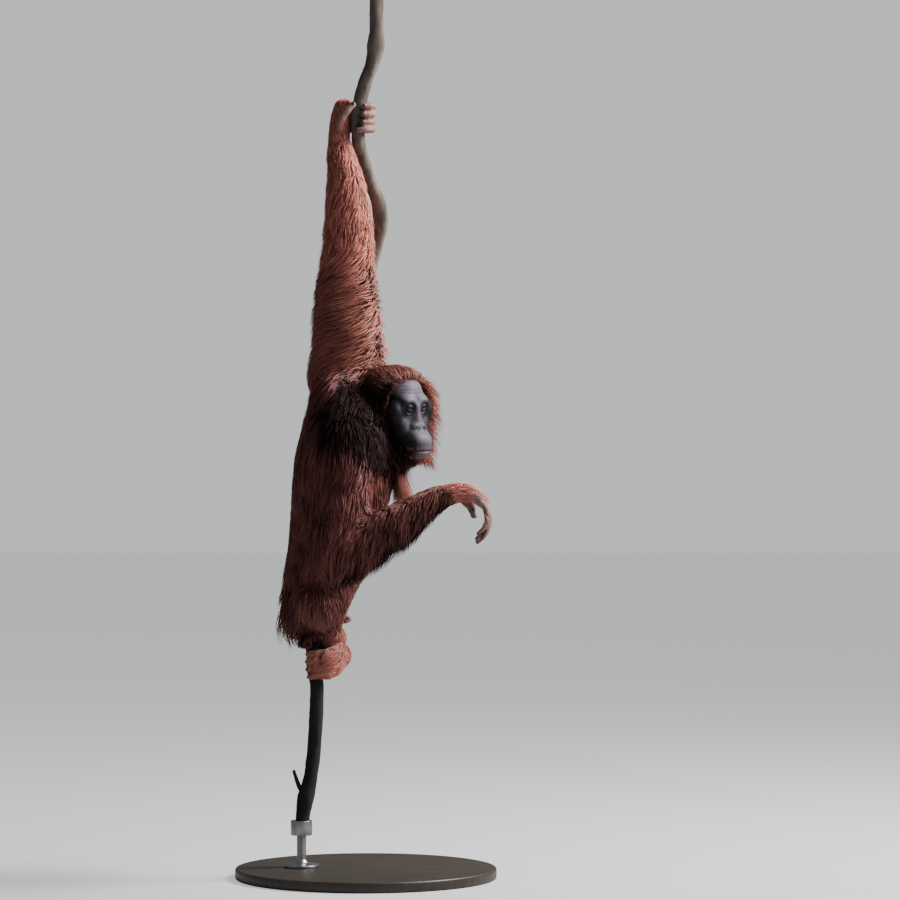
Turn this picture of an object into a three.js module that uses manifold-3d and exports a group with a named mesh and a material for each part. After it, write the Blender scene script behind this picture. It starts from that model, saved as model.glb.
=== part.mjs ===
// An adult female orangutan, life size, hanging from a liana by the left arm, with the right
// arm held out and both feet on the same stem. Millimetres, +Z up, +X to the viewer's right,
// +Y away from the viewer. The origin is the centre of the stand's underside. The solids give
// the outer shape of the coat, and of the bare skin on the face, ears, hands and feet.
import * as THREE from "three";
import Module from "manifold-3d";
import { mergeVertices } from "three/addons/utils/BufferGeometryUtils.js";
import { LoftGeometry } from "three/addons/geometries/LoftGeometry.js";

const wasm = await Module();
wasm.setup();

// Driving sizes of the animal and the stand.
const GAP = 0.6;
const EYE_RADIUS = 11.5;
const EYE_SPACING = 49;
const FINGER_RADIUS = 9.5;
const TOE_RADIUS = 8.8;
const LIANA_RADIUS = 18;
const BASE_RADIUS = 340;
const BASE_HEIGHT = 28;
const ROD_RADIUS = 12;
const SOCKET_RADIUS = 28;
const SOCKET_BOTTOM = 112;
const SOCKET_TOP = 150;

const at = (x, y, z) => new THREE.Vector3(x, y, z);
const radians = THREE.MathUtils.degToRad;

// The skeleton's joints, from which every limb is drawn.
const joint = {
  wristLeft: at(-72, 62, 1922),
  elbowLeft: at(-48, 75, 1612),
  shoulderLeft: at(-52, 78, 1285),
  shoulderRight: at(-42, -118, 1154),
  elbowRight: at(-68, -165, 822),
  wristRight: at(231, -175, 1003),
  hipRight: at(-122, -60, 700),
  kneeRight: at(-8, 40, 850),
  ankleRight: at(-100, -25, 645),
  hipLeft: at(-150, 62, 704),
  kneeLeft: at(-60, 235, 850),
  ankleLeft: at(-115, 95, 655),
  skull: at(80, 0, 1247),
};

// The way the face looks: turned towards the viewer's right and a little down.
const FACE_YAW = -43;
const FACE_PITCH = 17;
const FACE_ROLL = 3;

// Colours and finishes, one per kind of surface.
const finish = (colour, roughness, metalness = 0) =>
  new THREE.MeshStandardMaterial({ color: colour, roughness, metalness });
const COAT = finish(0x6b2a16, 0.85);
const FACE_COAT = finish(0x5a2415, 0.8);
const SKIN = finish(0x3a2a28, 0.6);
const EYE = finish(0x1d0f08, 0.1);
const BARK = finish(0x4a3a30, 0.95);
const PAINT = finish(0x24221f, 0.55);
const STEEL = finish(0x55565a, 0.35, 0.9);

// A geometry as a closed solid that joins and cuts, turned to face outwards.
function solidOf(geometry) {
  const bare = new THREE.BufferGeometry();
  bare.setAttribute("position", geometry.getAttribute("position"));
  bare.setIndex(geometry.index);
  const merged = mergeVertices(bare, 1e-3);
  const triVerts = Uint32Array.from(merged.index.array);
  const vertProperties = Float32Array.from(merged.attributes.position.array);
  const made = new wasm.Manifold(new wasm.Mesh({ numProp: 3, vertProperties, triVerts }));
  if (made.volume() >= 0) return made;
  for (let i = 0; i < triVerts.length; i += 3) {
    [triVerts[i + 1], triVerts[i + 2]] = [triVerts[i + 2], triVerts[i + 1]];
  }
  return new wasm.Manifold(new wasm.Mesh({ numProp: 3, vertProperties, triVerts }));
}

function geometryOf(solid) {
  const mesh = solid.getMesh();
  const position = new Float32Array(mesh.numVert * 3);
  for (let i = 0; i < mesh.numVert; i++) {
    position.set(mesh.vertProperties.subarray(i * mesh.numProp, i * mesh.numProp + 3), i * 3);
  }
  const geometry = new THREE.BufferGeometry();
  geometry.setAttribute("position", new THREE.BufferAttribute(position, 3));
  geometry.setIndex(new THREE.BufferAttribute(mesh.triVerts, 1));
  geometry.computeVertexNormals();
  return geometry;
}

// One station of a lofted form: where it is, its half-widths, and the heading, in degrees
// round Z, of the direction that "wide" is measured along.
const station = (where, wide, deep, heading) => ({ where, wide, deep, heading });

// A rounded form through the stations, as a function of how far its surface is let out. Where
// the line runs level, "wide" is measured upright instead of along a heading.
const ROUNDED = { around: 12, steps: 5, ends: [0.8, 0.8], caps: [68, 34], level: false };
function lofted(stations, options = {}) {
  const { around, steps, ends, caps, level } = { ...ROUNDED, ...options };
  const line = new THREE.CatmullRomCurve3(stations.map((s) => s.where));
  const sizes = new THREE.CatmullRomCurve3(stations.map((s) => at(s.wide, s.deep, s.heading)));
  const ring = (t, offset, scale, grow) => {
    const tangent = line.getTangent(t);
    const size = sizes.getPoint(t);
    const side = level ? at(0, 0, 1) : at(Math.cos(radians(size.z)), Math.sin(radians(size.z)), 0);
    side.addScaledVector(tangent, -side.dot(tangent)).normalize();
    const across = tangent.clone().cross(side);
    const centre = line.getPoint(t).addScaledVector(tangent, offset);
    return Array.from({ length: around }, (_, i) => {
      const turn = (i / around) * 2 * Math.PI;
      return centre
        .clone()
        .addScaledVector(side, Math.cos(turn) * scale * (size.x + grow))
        .addScaledVector(across, Math.sin(turn) * scale * (size.y + grow));
    });
  };
  return (grow = 0) => {
    const reach = (end) => {
      const s = stations[end ? stations.length - 1 : 0];
      return ends[end] * Math.min(s.wide, s.deep) + grow;
    };
    const sections = [];
    for (const turn of caps) {
      sections.push(ring(0, -reach(0) * Math.sin(radians(turn)), Math.cos(radians(turn)), grow));
    }
    for (let i = 0; i <= steps; i++) sections.push(ring(i / steps, 0, 1, grow));
    for (const turn of [...caps].reverse()) {
      sections.push(ring(1, reach(1) * Math.sin(radians(turn)), Math.cos(radians(turn)), grow));
    }
    return solidOf(new LoftGeometry(sections, { capStart: true, capEnd: true }));
  };
}

// An ellipsoid, turned by a quaternion where one is given.
function ellipsoid(centre, radii, turned = new THREE.Quaternion(), detail = [12, 8]) {
  return (grow = 0) => {
    const ball = new THREE.SphereGeometry(1, ...detail);
    ball.scale(radii.x + grow, radii.y + grow, radii.z + grow);
    ball.applyQuaternion(turned);
    ball.translate(centre.x, centre.y, centre.z);
    return solidOf(ball);
  };
}

// Everything past a plane through a point, as a block that a form is cut back by. The form
// stops half a gap short of the plane, or a little over it where it is let out.
const BLOCK = 1200;
function past(point, normal) {
  return (grow) => {
    const block = new THREE.BoxGeometry(BLOCK, BLOCK, BLOCK);
    block.translate(0, 0, (BLOCK - GAP) / 2 + 0.8 * grow);
    const upright = at(0, 0, 1);
    block.applyQuaternion(new THREE.Quaternion().setFromUnitVectors(upright, normal));
    block.translate(point.x, point.y, point.z);
    return solidOf(block);
  };
}

// The two blocks that part a limb at a joint, square to the way that it bends there.
function parting(before, middle, after) {
  const into = middle.clone().sub(before).normalize();
  const outOf = after.clone().sub(middle).normalize();
  const normal = into.add(outOf).normalize();
  return { ahead: past(middle, normal), behind: past(middle, normal.clone().negate()) };
}

const joined = (...forms) => (grow = 0) =>
  forms.map((form) => form(grow)).reduce((all, next) => all.add(next));

// The liana, from the cut end above the hand, behind the arm and the body, to the stand.
const lianaLine = new THREE.CatmullRomCurve3([
  at(26, 45, 2304), at(26, 45, 2232), at(25, 45, 2166), at(13, 47, 2114), at(-3, 48, 2075),
  at(-14, 50, 2036), at(-21, 52, 1992), at(-22, 60, 1945), at(-16, 86, 1893), at(3, 114, 1828),
  at(26, 134, 1776), at(34, 152, 1724), at(28, 170, 1672), at(8, 184, 1600), at(-15, 196, 1480),
  at(-32, 205, 1300), at(-35, 208, 1120), at(-22, 196, 960), at(-14, 162, 850), at(-42, 104, 750),
  at(-84, 52, 670), at(-126, 6, 600), at(-133, -3, 550), at(-128, -3, 500), at(-129, 0, 430),
  at(-134, 0, 350), at(-145, 0, 262), at(-163, 0, 178), at(-168, 0, 118),
]);
const LIANA_STEPS = 38;
const LIANA_SIDES = 7;
const SWELLINGS = [
  { level: 2172, height: 5, spread: 26 },
  { level: 1728, height: 3, spread: 40 },
  { level: 560, height: 3, spread: 30 },
  { level: 205, height: 4, spread: 30 },
];

function lianaRadius(level) {
  return SWELLINGS.reduce(
    (sum, s) => sum + s.height * Math.exp(-(((level - s.level) / s.spread) ** 2)),
    LIANA_RADIUS,
  );
}

// The liana's centre at a height.
function lianaAt(level) {
  let low = 0;
  let high = 1;
  for (let i = 0; i < 30; i++) {
    const middle = (low + high) / 2;
    if (lianaLine.getPoint(middle).z > level) low = middle;
    else high = middle;
  }
  return lianaLine.getPoint(low);
}

function liana(grow = 0) {
  const sections = [];
  for (let i = 0; i <= LIANA_STEPS; i++) {
    const centre = lianaLine.getPoint(i / LIANA_STEPS);
    const tangent = lianaLine.getTangent(i / LIANA_STEPS);
    const side = at(1, 0, 0).addScaledVector(tangent, -tangent.x).normalize();
    const across = tangent.clone().cross(side);
    const radius = lianaRadius(centre.z) + grow;
    sections.push(
      Array.from({ length: LIANA_SIDES }, (_, k) => {
        const turn = (k / LIANA_SIDES) * 2 * Math.PI;
        return centre
          .clone()
          .addScaledVector(side, Math.cos(turn) * radius)
          .addScaledVector(across, Math.sin(turn) * radius);
      }),
    );
  }
  return solidOf(new LoftGeometry(sections, { capStart: true, capEnd: true }));
}

// A short broken side twig on the lower stem.
const twig = lofted(
  [
    station(at(-150, 0, 206), 7, 7, 0),
    station(at(-172, -4, 236), 6, 6, 0),
    station(at(-188, -6, 282), 4, 4, 0),
  ],
  { around: 7, steps: 4 },
);

// The trunk, from the long hair of the rump to the top of the raised shoulder. The body
// turns from the hips, which face the liana, to the shoulders.
const trunkForm = joined(
  lofted(
    [
      station(at(-178, 0, 652), 48, 88, 38),
      station(at(-134, 0, 722), 72, 126, 38),
      station(at(-108, 0, 827), 86, 136, 32),
      station(at(-86, 0, 931), 108, 150, 24),
      station(at(-56, -4, 1048), 138, 166, 16),
      station(at(-50, -2, 1140), 128, 158, 12),
      station(at(-50, 26, 1222), 108, 116, 10),
      station(at(-48, 62, 1290), 96, 78, 8),
    ],
    { around: 16, steps: 8, ends: [0.7, 0.6] },
  ),
  ellipsoid(at(-200, 6, 640), at(46, 98, 70), new THREE.Quaternion(), [10, 7]),
);

// The neck, with the long hair of the throat.
const neckForm = joined(
  lofted(
    [
      station(at(-30, 4, 1176), 96, 92, 90),
      station(at(12, 0, 1196), 90, 88, 90),
      station(at(56, 0, 1216), 80, 76, 90),
    ],
    { around: 12, steps: 2, caps: [45] },
  ),
  ellipsoid(at(66, -14, 1066), at(68, 76, 102), new THREE.Quaternion(), [10, 7]),
);

// The raised left arm. Its long hair hangs out round the elbow and the shoulder.
const upperArmLeftForm = lofted(
  [
    station(joint.shoulderLeft, 112, 92, 0),
    station(at(-45, 84, 1372), 110, 90, 0),
    station(at(-48, 83, 1450), 103, 84, 0),
    station(at(-49, 80, 1530), 92, 78, 0),
    station(joint.elbowLeft, 79, 71, 0),
  ],
  { steps: 5 },
);
const forearmLeftForm = lofted(
  [
    station(joint.elbowLeft, 78, 70, 0),
    station(at(-47, 73, 1690), 72, 64, 0),
    station(at(-50, 68, 1762), 62, 56, 0),
    station(at(-58, 64, 1830), 50, 46, 0),
    station(joint.wristLeft, 34, 34, 0),
  ],
  { steps: 5, ends: [0.8, 0.3] },
);

// The lowered right arm, with the long hair that hangs under the forearm.
const upperArmRightForm = lofted(
  [
    station(joint.shoulderRight, 78, 66, 0),
    station(at(-42, -132, 1070), 70, 62, 0),
    station(at(-48, -148, 980), 66, 58, 0),
    station(at(-58, -160, 900), 68, 60, 0),
    station(joint.elbowRight, 76, 62, 0),
  ],
  { steps: 5, ends: [0.8, 1.1] },
);
const forearmRightForm = lofted(
  [
    station(joint.elbowRight, 62, 78, 90),
    station(at(5, -168, 860), 58, 78, 90),
    station(at(75, -170, 908), 52, 70, 90),
    station(at(132, -172, 946), 46, 54, 90),
    station(at(180, -174, 982), 38, 35, 90),
    station(joint.wristRight, 33, 27, 90),
  ],
  { steps: 7, ends: [1.1, 0.3] },
);

// The drawn-up legs, one each side of the liana.
const thighRightForm = lofted(
  [
    station(joint.hipRight, 70, 74, 60),
    station(at(-80, -22, 770), 62, 66, 60),
    station(joint.kneeRight, 56, 56, 60),
  ],
  { around: 11, steps: 4 },
);
const shinRightForm = lofted(
  [
    station(joint.kneeRight, 54, 54, 90),
    station(at(-56, 20, 778), 50, 45, 90),
    station(at(-82, -4, 706), 43, 40, 90),
    station(joint.ankleRight, 34, 32, 90),
  ],
  { around: 9, steps: 4, ends: [0.8, 0.5] },
);
const thighLeftForm = lofted(
  [
    station(joint.hipLeft, 76, 76, 0),
    station(at(-118, 146, 776), 72, 72, 0),
    station(joint.kneeLeft, 60, 60, 0),
  ],
  { around: 11, steps: 4 },
);
const shinLeftForm = lofted(
  [
    station(joint.kneeLeft, 56, 56, 0),
    station(at(-72, 196, 782), 55, 54, 0),
    station(at(-95, 140, 712), 46, 45, 0),
    station(joint.ankleLeft, 34, 32, 0),
  ],
  { around: 9, steps: 4, ends: [0.8, 0.5] },
);

// A digit wrapped round the liana. It starts on the palm or sole, and its angles, in
// degrees, run round the liana from +X towards +Y; the reach is the distance of its
// centre line from the liana's, first at the root, then at the knuckle and at the tip.
function wrapped({ root, level, drop, from, to, reach, radius }) {
  const stations = [station(root, radius * 1.12, radius * 1.12, 0)];
  const turns = 5;
  for (let i = 0; i <= turns; i++) {
    const share = i / turns;
    const turn = radians(from + (to - from) * share);
    const height = level - drop * share;
    const out =
      reach[0] * (1 - share) ** 2 + reach[1] * 2 * share * (1 - share) + reach[2] * share ** 2;
    const centre = lianaAt(height);
    const where = at(centre.x + out * Math.cos(turn), centre.y + out * Math.sin(turn), height);
    const thick = radius * (1.06 - 0.22 * share);
    stations.push(station(where, thick, thick, 0));
  }
  return stations;
}

// A free digit: bones of the given lengths, each bent down from the last.
function hanging({ root, heading, pitch, bones, bends, radius }) {
  const stations = [station(root, radius * 1.12, radius * 1.12, heading + 90)];
  let where = root.clone();
  let tilt = pitch;
  bones.forEach((length, i) => {
    tilt -= bends[i];
    const forward = Math.cos(radians(tilt)) * length;
    where = where
      .clone()
      .add(at(
        Math.cos(radians(heading)) * forward,
        Math.sin(radians(heading)) * forward,
        Math.sin(radians(tilt)) * length,
      ));
    const thick = radius * (1.04 - 0.1 * (i + 1));
    stations.push(station(where, thick, thick, heading + 90));
  });
  return stations;
}

const DIGIT = { around: 6, steps: 4, ends: [0.5, 0.9], caps: [50] };
const digit = (stations) => lofted(stations, DIGIT);
const gripping = (size) => lofted(wrapped(size), { ...DIGIT, level: true });

// The left hand, round the liana from the left: the palm on its left, the fingers behind
// it and round to the right, and the thumb in front.
const palmLeftForm = lofted(
  [
    station(joint.wristLeft, 26, 28, 20),
    station(at(-71, 76, 1952), 24, 36, 20),
    station(at(-67, 84, 1984), 22, 40, 24),
    station(at(-61, 87, 2014), 18, 34, 28),
  ],
  { around: 8, steps: 3, ends: [0.3, 0.9] },
);
const FINGER_NAMES = ["index", "middle", "ring", "little"];
const fingersLeft = FINGER_NAMES.map((name, i) => ({
  name: `${name}_finger_left`,
  form: gripping({
    root: at(-58, 88, 2014 - 20 * i),
    level: 2016 - 20 * i,
    drop: 6 + i,
    from: 118,
    to: i === 3 ? -96 : -62,
    reach: [33, 46, 28.5],
    radius: FINGER_RADIUS,
  }),
}));
const thumbLeft = digit([
  station(at(-72, 48, 1950), 11.5, 11.5, 0),
  station(at(-64, 26, 1975), 10.5, 10.5, 0),
  station(at(-50, 19, 1996), 9.5, 9.5, 0),
  station(at(-34, 20, 2012), 8.5, 8.5, 0),
]);

// The right hand, held out and hanging from the wrist, with the fingers curled down.
const palmRightForm = lofted(
  [
    station(joint.wristRight, 29, 24, 90),
    station(at(258, -172, 1004), 36, 21, 90),
    station(at(284, -170, 994), 40, 18, 90),
    station(at(300, -169, 980), 38, 15, 90),
  ],
  { around: 8, steps: 3, ends: [0.3, 0.8] },
);
const FINGER_BONES = [
  [14, 36, 34, 26],
  [16, 39, 37, 27],
  [15, 37, 35, 26],
  [13, 30, 29, 22],
];
const fingersRight = FINGER_NAMES.map((name, i) => ({
  name: `${name}_finger_right`,
  form: digit(
    hanging({
      root: at(296, -139 - 20.5 * i, 980),
      heading: 4 - 4 * i,
      pitch: -18,
      bones: FINGER_BONES[i],
      bends: [22, 34, 34, 28],
      radius: FINGER_RADIUS * (i === 3 ? 0.9 : 1),
    }),
  ),
}));
const thumbRight = digit([
  station(at(246, -146, 994), 11.5, 11.5, 0),
  station(at(262, -132, 978), 10.5, 10.5, 0),
  station(at(274, -126, 960), 9.5, 9.5, 0),
  station(at(279, -124, 944), 8.5, 8.5, 0),
]);

// The right foot, against the right and front of the stem, and the left foot above and
// behind it.
const soleRightForm = lofted(
  [
    station(at(-64, 36, 572), 22, 24, 0),
    station(at(-68, 8, 578), 26, 32, 0),
    station(at(-80, -20, 568), 20, 40, -25),
    station(at(-96, -38, 558), 14, 38, -40),
  ],
  { around: 8, steps: 3, ends: [0.8, 0.6] },
);
const soleLeftForm = lofted(
  [
    station(at(-78, 108, 618), 24, 24, -40),
    station(at(-98, 92, 636), 26, 32, -40),
    station(at(-118, 76, 640), 20, 38, -44),
    station(at(-134, 60, 636), 14, 36, -50),
  ],
  { around: 8, steps: 3, ends: [0.8, 0.6] },
);
const TOE_NAMES = ["second", "third", "fourth", "fifth"];
const toesRight = TOE_NAMES.map((name, i) => ({
  name: `${name}_toe_right`,
  form: gripping({
    root: at(-97, -40, 588 - 19.5 * i),
    level: 589 - 19.5 * i,
    drop: 6,
    from: -66,
    to: -134 + 4 * i,
    reach: [42, 38, 27.5],
    radius: TOE_RADIUS,
  }),
}));
const toesLeft = TOE_NAMES.map((name, i) => ({
  name: `${name}_toe_left`,
  form: gripping({
    root: at(-134, 58, 666 - 19.5 * i),
    level: 667 - 19.5 * i,
    drop: 6,
    from: 150,
    to: 226,
    reach: [41, 37, 27.5],
    radius: TOE_RADIUS,
  }),
}));
const bigToeRight = gripping({
  root: at(-74, 10, 596),
  level: 600,
  drop: -5,
  from: 34,
  to: 110,
  reach: [46, 38, 30.5],
  radius: TOE_RADIUS * 1.25,
});
const bigToeLeft = gripping({
  root: at(-96, 80, 664),
  level: 668,
  drop: -6,
  from: 62,
  to: -16,
  reach: [44, 37, 30.5],
  radius: TOE_RADIUS * 1.25,
});

// The head is drawn in its own axes: x forwards, y to its left, z up, from the middle of
// the skull. Each form is a distance from its surface, and the forms melt into each other.
const headTurn = new THREE.Quaternion()
  .setFromAxisAngle(at(0, 0, 1), radians(FACE_YAW))
  .multiply(new THREE.Quaternion().setFromAxisAngle(at(0, 1, 0), radians(FACE_PITCH)))
  .multiply(new THREE.Quaternion().setFromAxisAngle(at(1, 0, 0), radians(FACE_ROLL)));
const inHead = (x, y, z) => at(x, y, z).applyQuaternion(headTurn).add(joint.skull);

function egg(centre, radii) {
  return (p) => {
    const q = p.clone().sub(centre);
    const near = q.clone().divide(radii).length();
    const slope = q.clone().divide(radii).divide(radii).length();
    return slope < 1e-9 ? -Math.min(radii.x, radii.y, radii.z) : (near * (near - 1)) / slope;
  };
}

function bar(start, end, radius) {
  const axis = end.clone().sub(start);
  return (p) => {
    const q = p.clone().sub(start);
    const share = THREE.MathUtils.clamp(q.dot(axis) / axis.lengthSq(), 0, 1);
    return q.addScaledVector(axis, -share).length() - radius;
  };
}

function melt(a, b, width) {
  const h = Math.max(width - Math.abs(a - b), 0) / width;
  return Math.min(a, b) - (h * h * width) / 4;
}
const bite = (a, b, width) => -melt(-a, b, width);
const bothSides = (form) => (p) => form(at(p.x, Math.abs(p.y), p.z));

const FACE_FORMS = [
  { form: egg(at(-6, 0, 12), at(76, 64, 62)), blend: 10 },
  { form: bothSides(egg(at(58, 24, 12), at(19, 25, 15))), blend: 14 },
  { form: bothSides(egg(at(50, 56, -22), at(25, 22, 30))), blend: 20 },
  { form: egg(at(40, 0, -56), at(46, 54, 62)), blend: 20 },
  { form: egg(at(85, 0, -88), at(53, 59, 34)), blend: 26 },
  { form: egg(at(81, 0, -114), at(50, 47, 23)), blend: 12 },
  { form: egg(at(24, 0, -90), at(62, 58, 42)), blend: 20 },
  { form: bothSides(egg(at(60, 42, -60), at(24, 19, 30))), blend: 16 },
  { form: bar(at(73, 0, -4), at(89, 0, -42), 9), blend: 18 },
  { form: bothSides(egg(at(90, 11, -50), at(13, 12.5, 9.5))), blend: 9 },
];
const HAIR = egg(at(-2, 0, 6), at(94, 112, 82));
const CHEEK_HAIR = egg(at(24, 0, -60), at(62, 128, 78));
const BEARD = egg(at(84, 0, -132), at(32, 42, 32));
const EAR_PLACE = at(4, 86, -16);
const EAR_SIZE = at(13, 9, 19);
const EAR_HOLLOW = at(12, 110, -16);
const EAR_HOLLOW_RADIUS = 32;

function headField(p) {
  let face = Infinity;
  for (const { form, blend } of FACE_FORMS) {
    face = face === Infinity ? form(p) : melt(face, form(p), blend);
  }
  const socket = egg(at(80, EYE_SPACING / 2, -3), at(13, 15, 11))(at(p.x, Math.abs(p.y), p.z));
  face = bite(face, socket, 9);
  const hairline = 0.95 * p.x - 0.31 * p.z - 30 - 0.22 * Math.abs(p.y);
  const cheekline = 0.96 * p.x + 0.2 * p.z - 12 - 0.34 * Math.abs(p.y);
  const earHollow = at(p.x, Math.abs(p.y), p.z).sub(EAR_HOLLOW).length() - EAR_HOLLOW_RADIUS;
  let hair = melt(bite(HAIR(p), -hairline, 10), bite(CHEEK_HAIR(p), -cheekline, 10), 16);
  hair = bite(hair, earHollow, 8);
  return melt(melt(face, hair, 8), BEARD(p), 12);
}

// The head's surface: a sphere whose points are drawn in to the field, with the most
// points round the face.
function headForm(grow = 0) {
  const heart = at(22, 0, -24);
  const ball = new THREE.SphereGeometry(1, 24, 18);
  const place = ball.attributes.position;
  const focus = 1.45;
  const farthest = 230;
  for (let i = 0; i < place.count; i++) {
    const raw = at(place.getX(i), place.getY(i), place.getZ(i));
    const polar = Math.acos(THREE.MathUtils.clamp(raw.y, -1, 1));
    const bent = Math.PI * (polar / Math.PI) ** focus;
    const flat = Math.hypot(raw.x, raw.z) || 1;
    const ray = at(
      Math.cos(bent),
      (-raw.x / flat) * Math.sin(bent),
      (raw.z / flat) * Math.sin(bent),
    );
    let outside = farthest;
    while (outside > 4 && headField(heart.clone().addScaledVector(ray, outside - 4)) > grow) {
      outside -= 4;
    }
    let inside = outside - 4;
    for (let k = 0; k < 14; k++) {
      const middle = (outside + inside) / 2;
      if (headField(heart.clone().addScaledVector(ray, middle)) > grow) outside = middle;
      else inside = middle;
    }
    const p = heart.clone().addScaledVector(ray, inside);
    const world = inHead(p.x, p.y, p.z);
    place.setXYZ(i, world.x, world.y, world.z);
  }
  return solidOf(ball);
}

const eyeForm = (side) =>
  ellipsoid(
    inHead(66.5, (side * EYE_SPACING) / 2, -3),
    at(EYE_RADIUS, EYE_RADIUS, EYE_RADIUS),
    headTurn,
    [9, 6],
  );
const nostril = (side) =>
  ellipsoid(inHead(100, side * 11.4, -51), at(7, 5, 5.8), headTurn, [6, 4]);
const earForm = (side) => (grow = 0) => {
  const lean = new THREE.Quaternion().setFromAxisAngle(at(0, 0, 1), radians(side * 24));
  const turned = headTurn.clone().multiply(lean);
  const middle = inHead(EAR_PLACE.x, side * EAR_PLACE.y, EAR_PLACE.z);
  const shell = ellipsoid(middle, EAR_SIZE, turned, [9, 6]);
  const hollow = inHead(EAR_PLACE.x + 5, side * (EAR_PLACE.y + 9), EAR_PLACE.z + 1);
  const bowl = ellipsoid(hollow, at(6, 5, 11), turned, [6, 4]);
  return shell(grow).subtract(bowl(-grow));
};

// The stand: a round board, a turned rod with a foot, and a socket for the liana's cut end.
function turned(profile, x, y, segments) {
  const lathe = new THREE.LatheGeometry(profile.map(([r, z]) => new THREE.Vector2(r, z)), segments);
  lathe.rotateX(Math.PI / 2);
  lathe.translate(x, y, 0);
  return solidOf(lathe);
}
const foot = lianaAt(SOCKET_BOTTOM + 10);
const EDGE = 5;
const boardForm = (grow = 0) =>
  turned(
    [
      [0, -grow],
      [BASE_RADIUS - EDGE, -grow],
      [BASE_RADIUS, EDGE],
      [BASE_RADIUS, BASE_HEIGHT - EDGE],
      [BASE_RADIUS - EDGE, BASE_HEIGHT + grow],
      [0, BASE_HEIGHT + grow],
    ],
    0,
    0,
    36,
  );
const rodForm = (grow = 0) =>
  turned(
    [
      [0, BASE_HEIGHT - grow],
      [46 + grow, BASE_HEIGHT - grow],
      [46 + grow, BASE_HEIGHT + 7],
      [40 + grow, BASE_HEIGHT + 10],
      [ROD_RADIUS + 6 + grow, BASE_HEIGHT + 13],
      [ROD_RADIUS + grow, BASE_HEIGHT + 22],
      [ROD_RADIUS + grow, SOCKET_BOTTOM + grow],
      [0, SOCKET_BOTTOM + grow],
    ],
    foot.x,
    foot.y,
    12,
  );
const socketForm = (grow = 0) =>
  turned(
    [
      [0, SOCKET_BOTTOM - grow],
      [SOCKET_RADIUS - 4 + grow, SOCKET_BOTTOM - grow],
      [SOCKET_RADIUS + grow, SOCKET_BOTTOM + 4],
      [SOCKET_RADIUS + grow, SOCKET_TOP],
      [SOCKET_RADIUS - 3, SOCKET_TOP + grow],
      [0, SOCKET_TOP + grow],
    ],
    foot.x,
    foot.y,
    12,
  );

// Puts each piece in the group. It gives way, by the gap, to the pieces before it.
const orangutan = new THREE.Group();
orangutan.name = "orangutan";
const placed = [];

function boxesTouch(a, b) {
  return [0, 1, 2].every((k) => a.min[k] <= b.max[k] && b.min[k] <= a.max[k]);
}

function put(name, form, material, cutters = []) {
  const trimmed = (grow) =>
    cutters.reduce((left, cutter) => left.subtract(cutter(grow)), form(grow));
  let solid = trimmed(0);
  for (const earlier of placed) {
    if (boxesTouch(earlier.boundingBox(), solid.boundingBox())) solid = solid.subtract(earlier);
  }
  const largest = solid
    .decompose()
    .reduce((best, body) => (body.volume() > best.volume() ? body : best));
  const mesh = new THREE.Mesh(geometryOf(largest), material);
  mesh.name = name;
  orangutan.add(mesh);
  placed.push(trimmed(GAP));
}

// The places where the limbs and the neck are parted.
const elbowLeft = parting(joint.shoulderLeft, joint.elbowLeft, joint.wristLeft);
const wristLeft = parting(joint.elbowLeft, joint.wristLeft, at(-71, 76, 1952));
const elbowRight = parting(joint.shoulderRight, joint.elbowRight, joint.wristRight);
const wristRight = parting(joint.elbowRight, joint.wristRight, at(258, -172, 1004));
const kneeRight = parting(joint.hipRight, joint.kneeRight, joint.ankleRight);
const kneeLeft = parting(joint.hipLeft, joint.kneeLeft, joint.ankleLeft);
const nape = parting(at(-30, 4, 1176), at(8, 0, 1194), at(56, 0, 1216));

put("stand_base", boardForm, PAINT);
put("stand_rod", (grow) => rodForm(grow - GAP), STEEL);
put("perch_liana", joined(liana, twig), BARK);
put("stand_socket", socketForm, STEEL);
put("eye_left", eyeForm(1), EYE);
put("eye_right", eyeForm(-1), EYE);
put("head", headForm, FACE_COAT, [nostril(1), nostril(-1)]);
put("ear_left", earForm(1), SKIN);
put("ear_right", earForm(-1), SKIN);
put("neck", neckForm, COAT, [nape.behind]);
put("trunk", trunkForm, COAT, [nape.ahead]);
put("upper_arm_left", upperArmLeftForm, COAT, [elbowLeft.ahead]);
put("forearm_left", forearmLeftForm, COAT, [elbowLeft.behind, wristLeft.ahead]);
put("hand_left", palmLeftForm, SKIN, [wristLeft.behind]);
put("upper_arm_right", upperArmRightForm, COAT, [elbowRight.ahead]);
put("forearm_right", forearmRightForm, COAT, [elbowRight.behind, wristRight.ahead]);
put("hand_right", palmRightForm, SKIN, [wristRight.behind]);
put("thigh_right", thighRightForm, COAT, [kneeRight.ahead]);
put("thigh_left", thighLeftForm, COAT, [kneeLeft.ahead]);
put("shin_right", shinRightForm, COAT, [kneeRight.behind]);
put("shin_left", shinLeftForm, COAT, [kneeLeft.behind]);
put("foot_right", soleRightForm, SKIN);
put("foot_left", soleLeftForm, SKIN);
for (const { name, form } of [...fingersLeft, ...fingersRight, ...toesRight, ...toesLeft]) {
  put(name, form, SKIN);
}
put("thumb_left", thumbLeft, SKIN);
put("thumb_right", thumbRight, SKIN);
put("big_toe_right", bigToeRight, SKIN);
put("big_toe_left", bigToeLeft, SKIN);

export default orangutan;
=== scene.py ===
# %% [markdown]
# A life-size adult female orangutan hangs from a liana by one long arm. Its solids are already
# made, and the frame holds them: each is a named object whose place is in its mesh. They are
# the outer shape of the coat. Here one skin takes their place, inside them, and thousands of
# thin locks of hair fill the space up to them. Nothing of the frame is moved, so the animal,
# its liana and its stand stay where the solids are.

# %% Load the frame
import math

import bmesh
import bpy
import numpy as np
from mathutils import Matrix, Vector, noise
from mathutils.bvhtree import BVHTree
from mathutils.kdtree import KDTree


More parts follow.
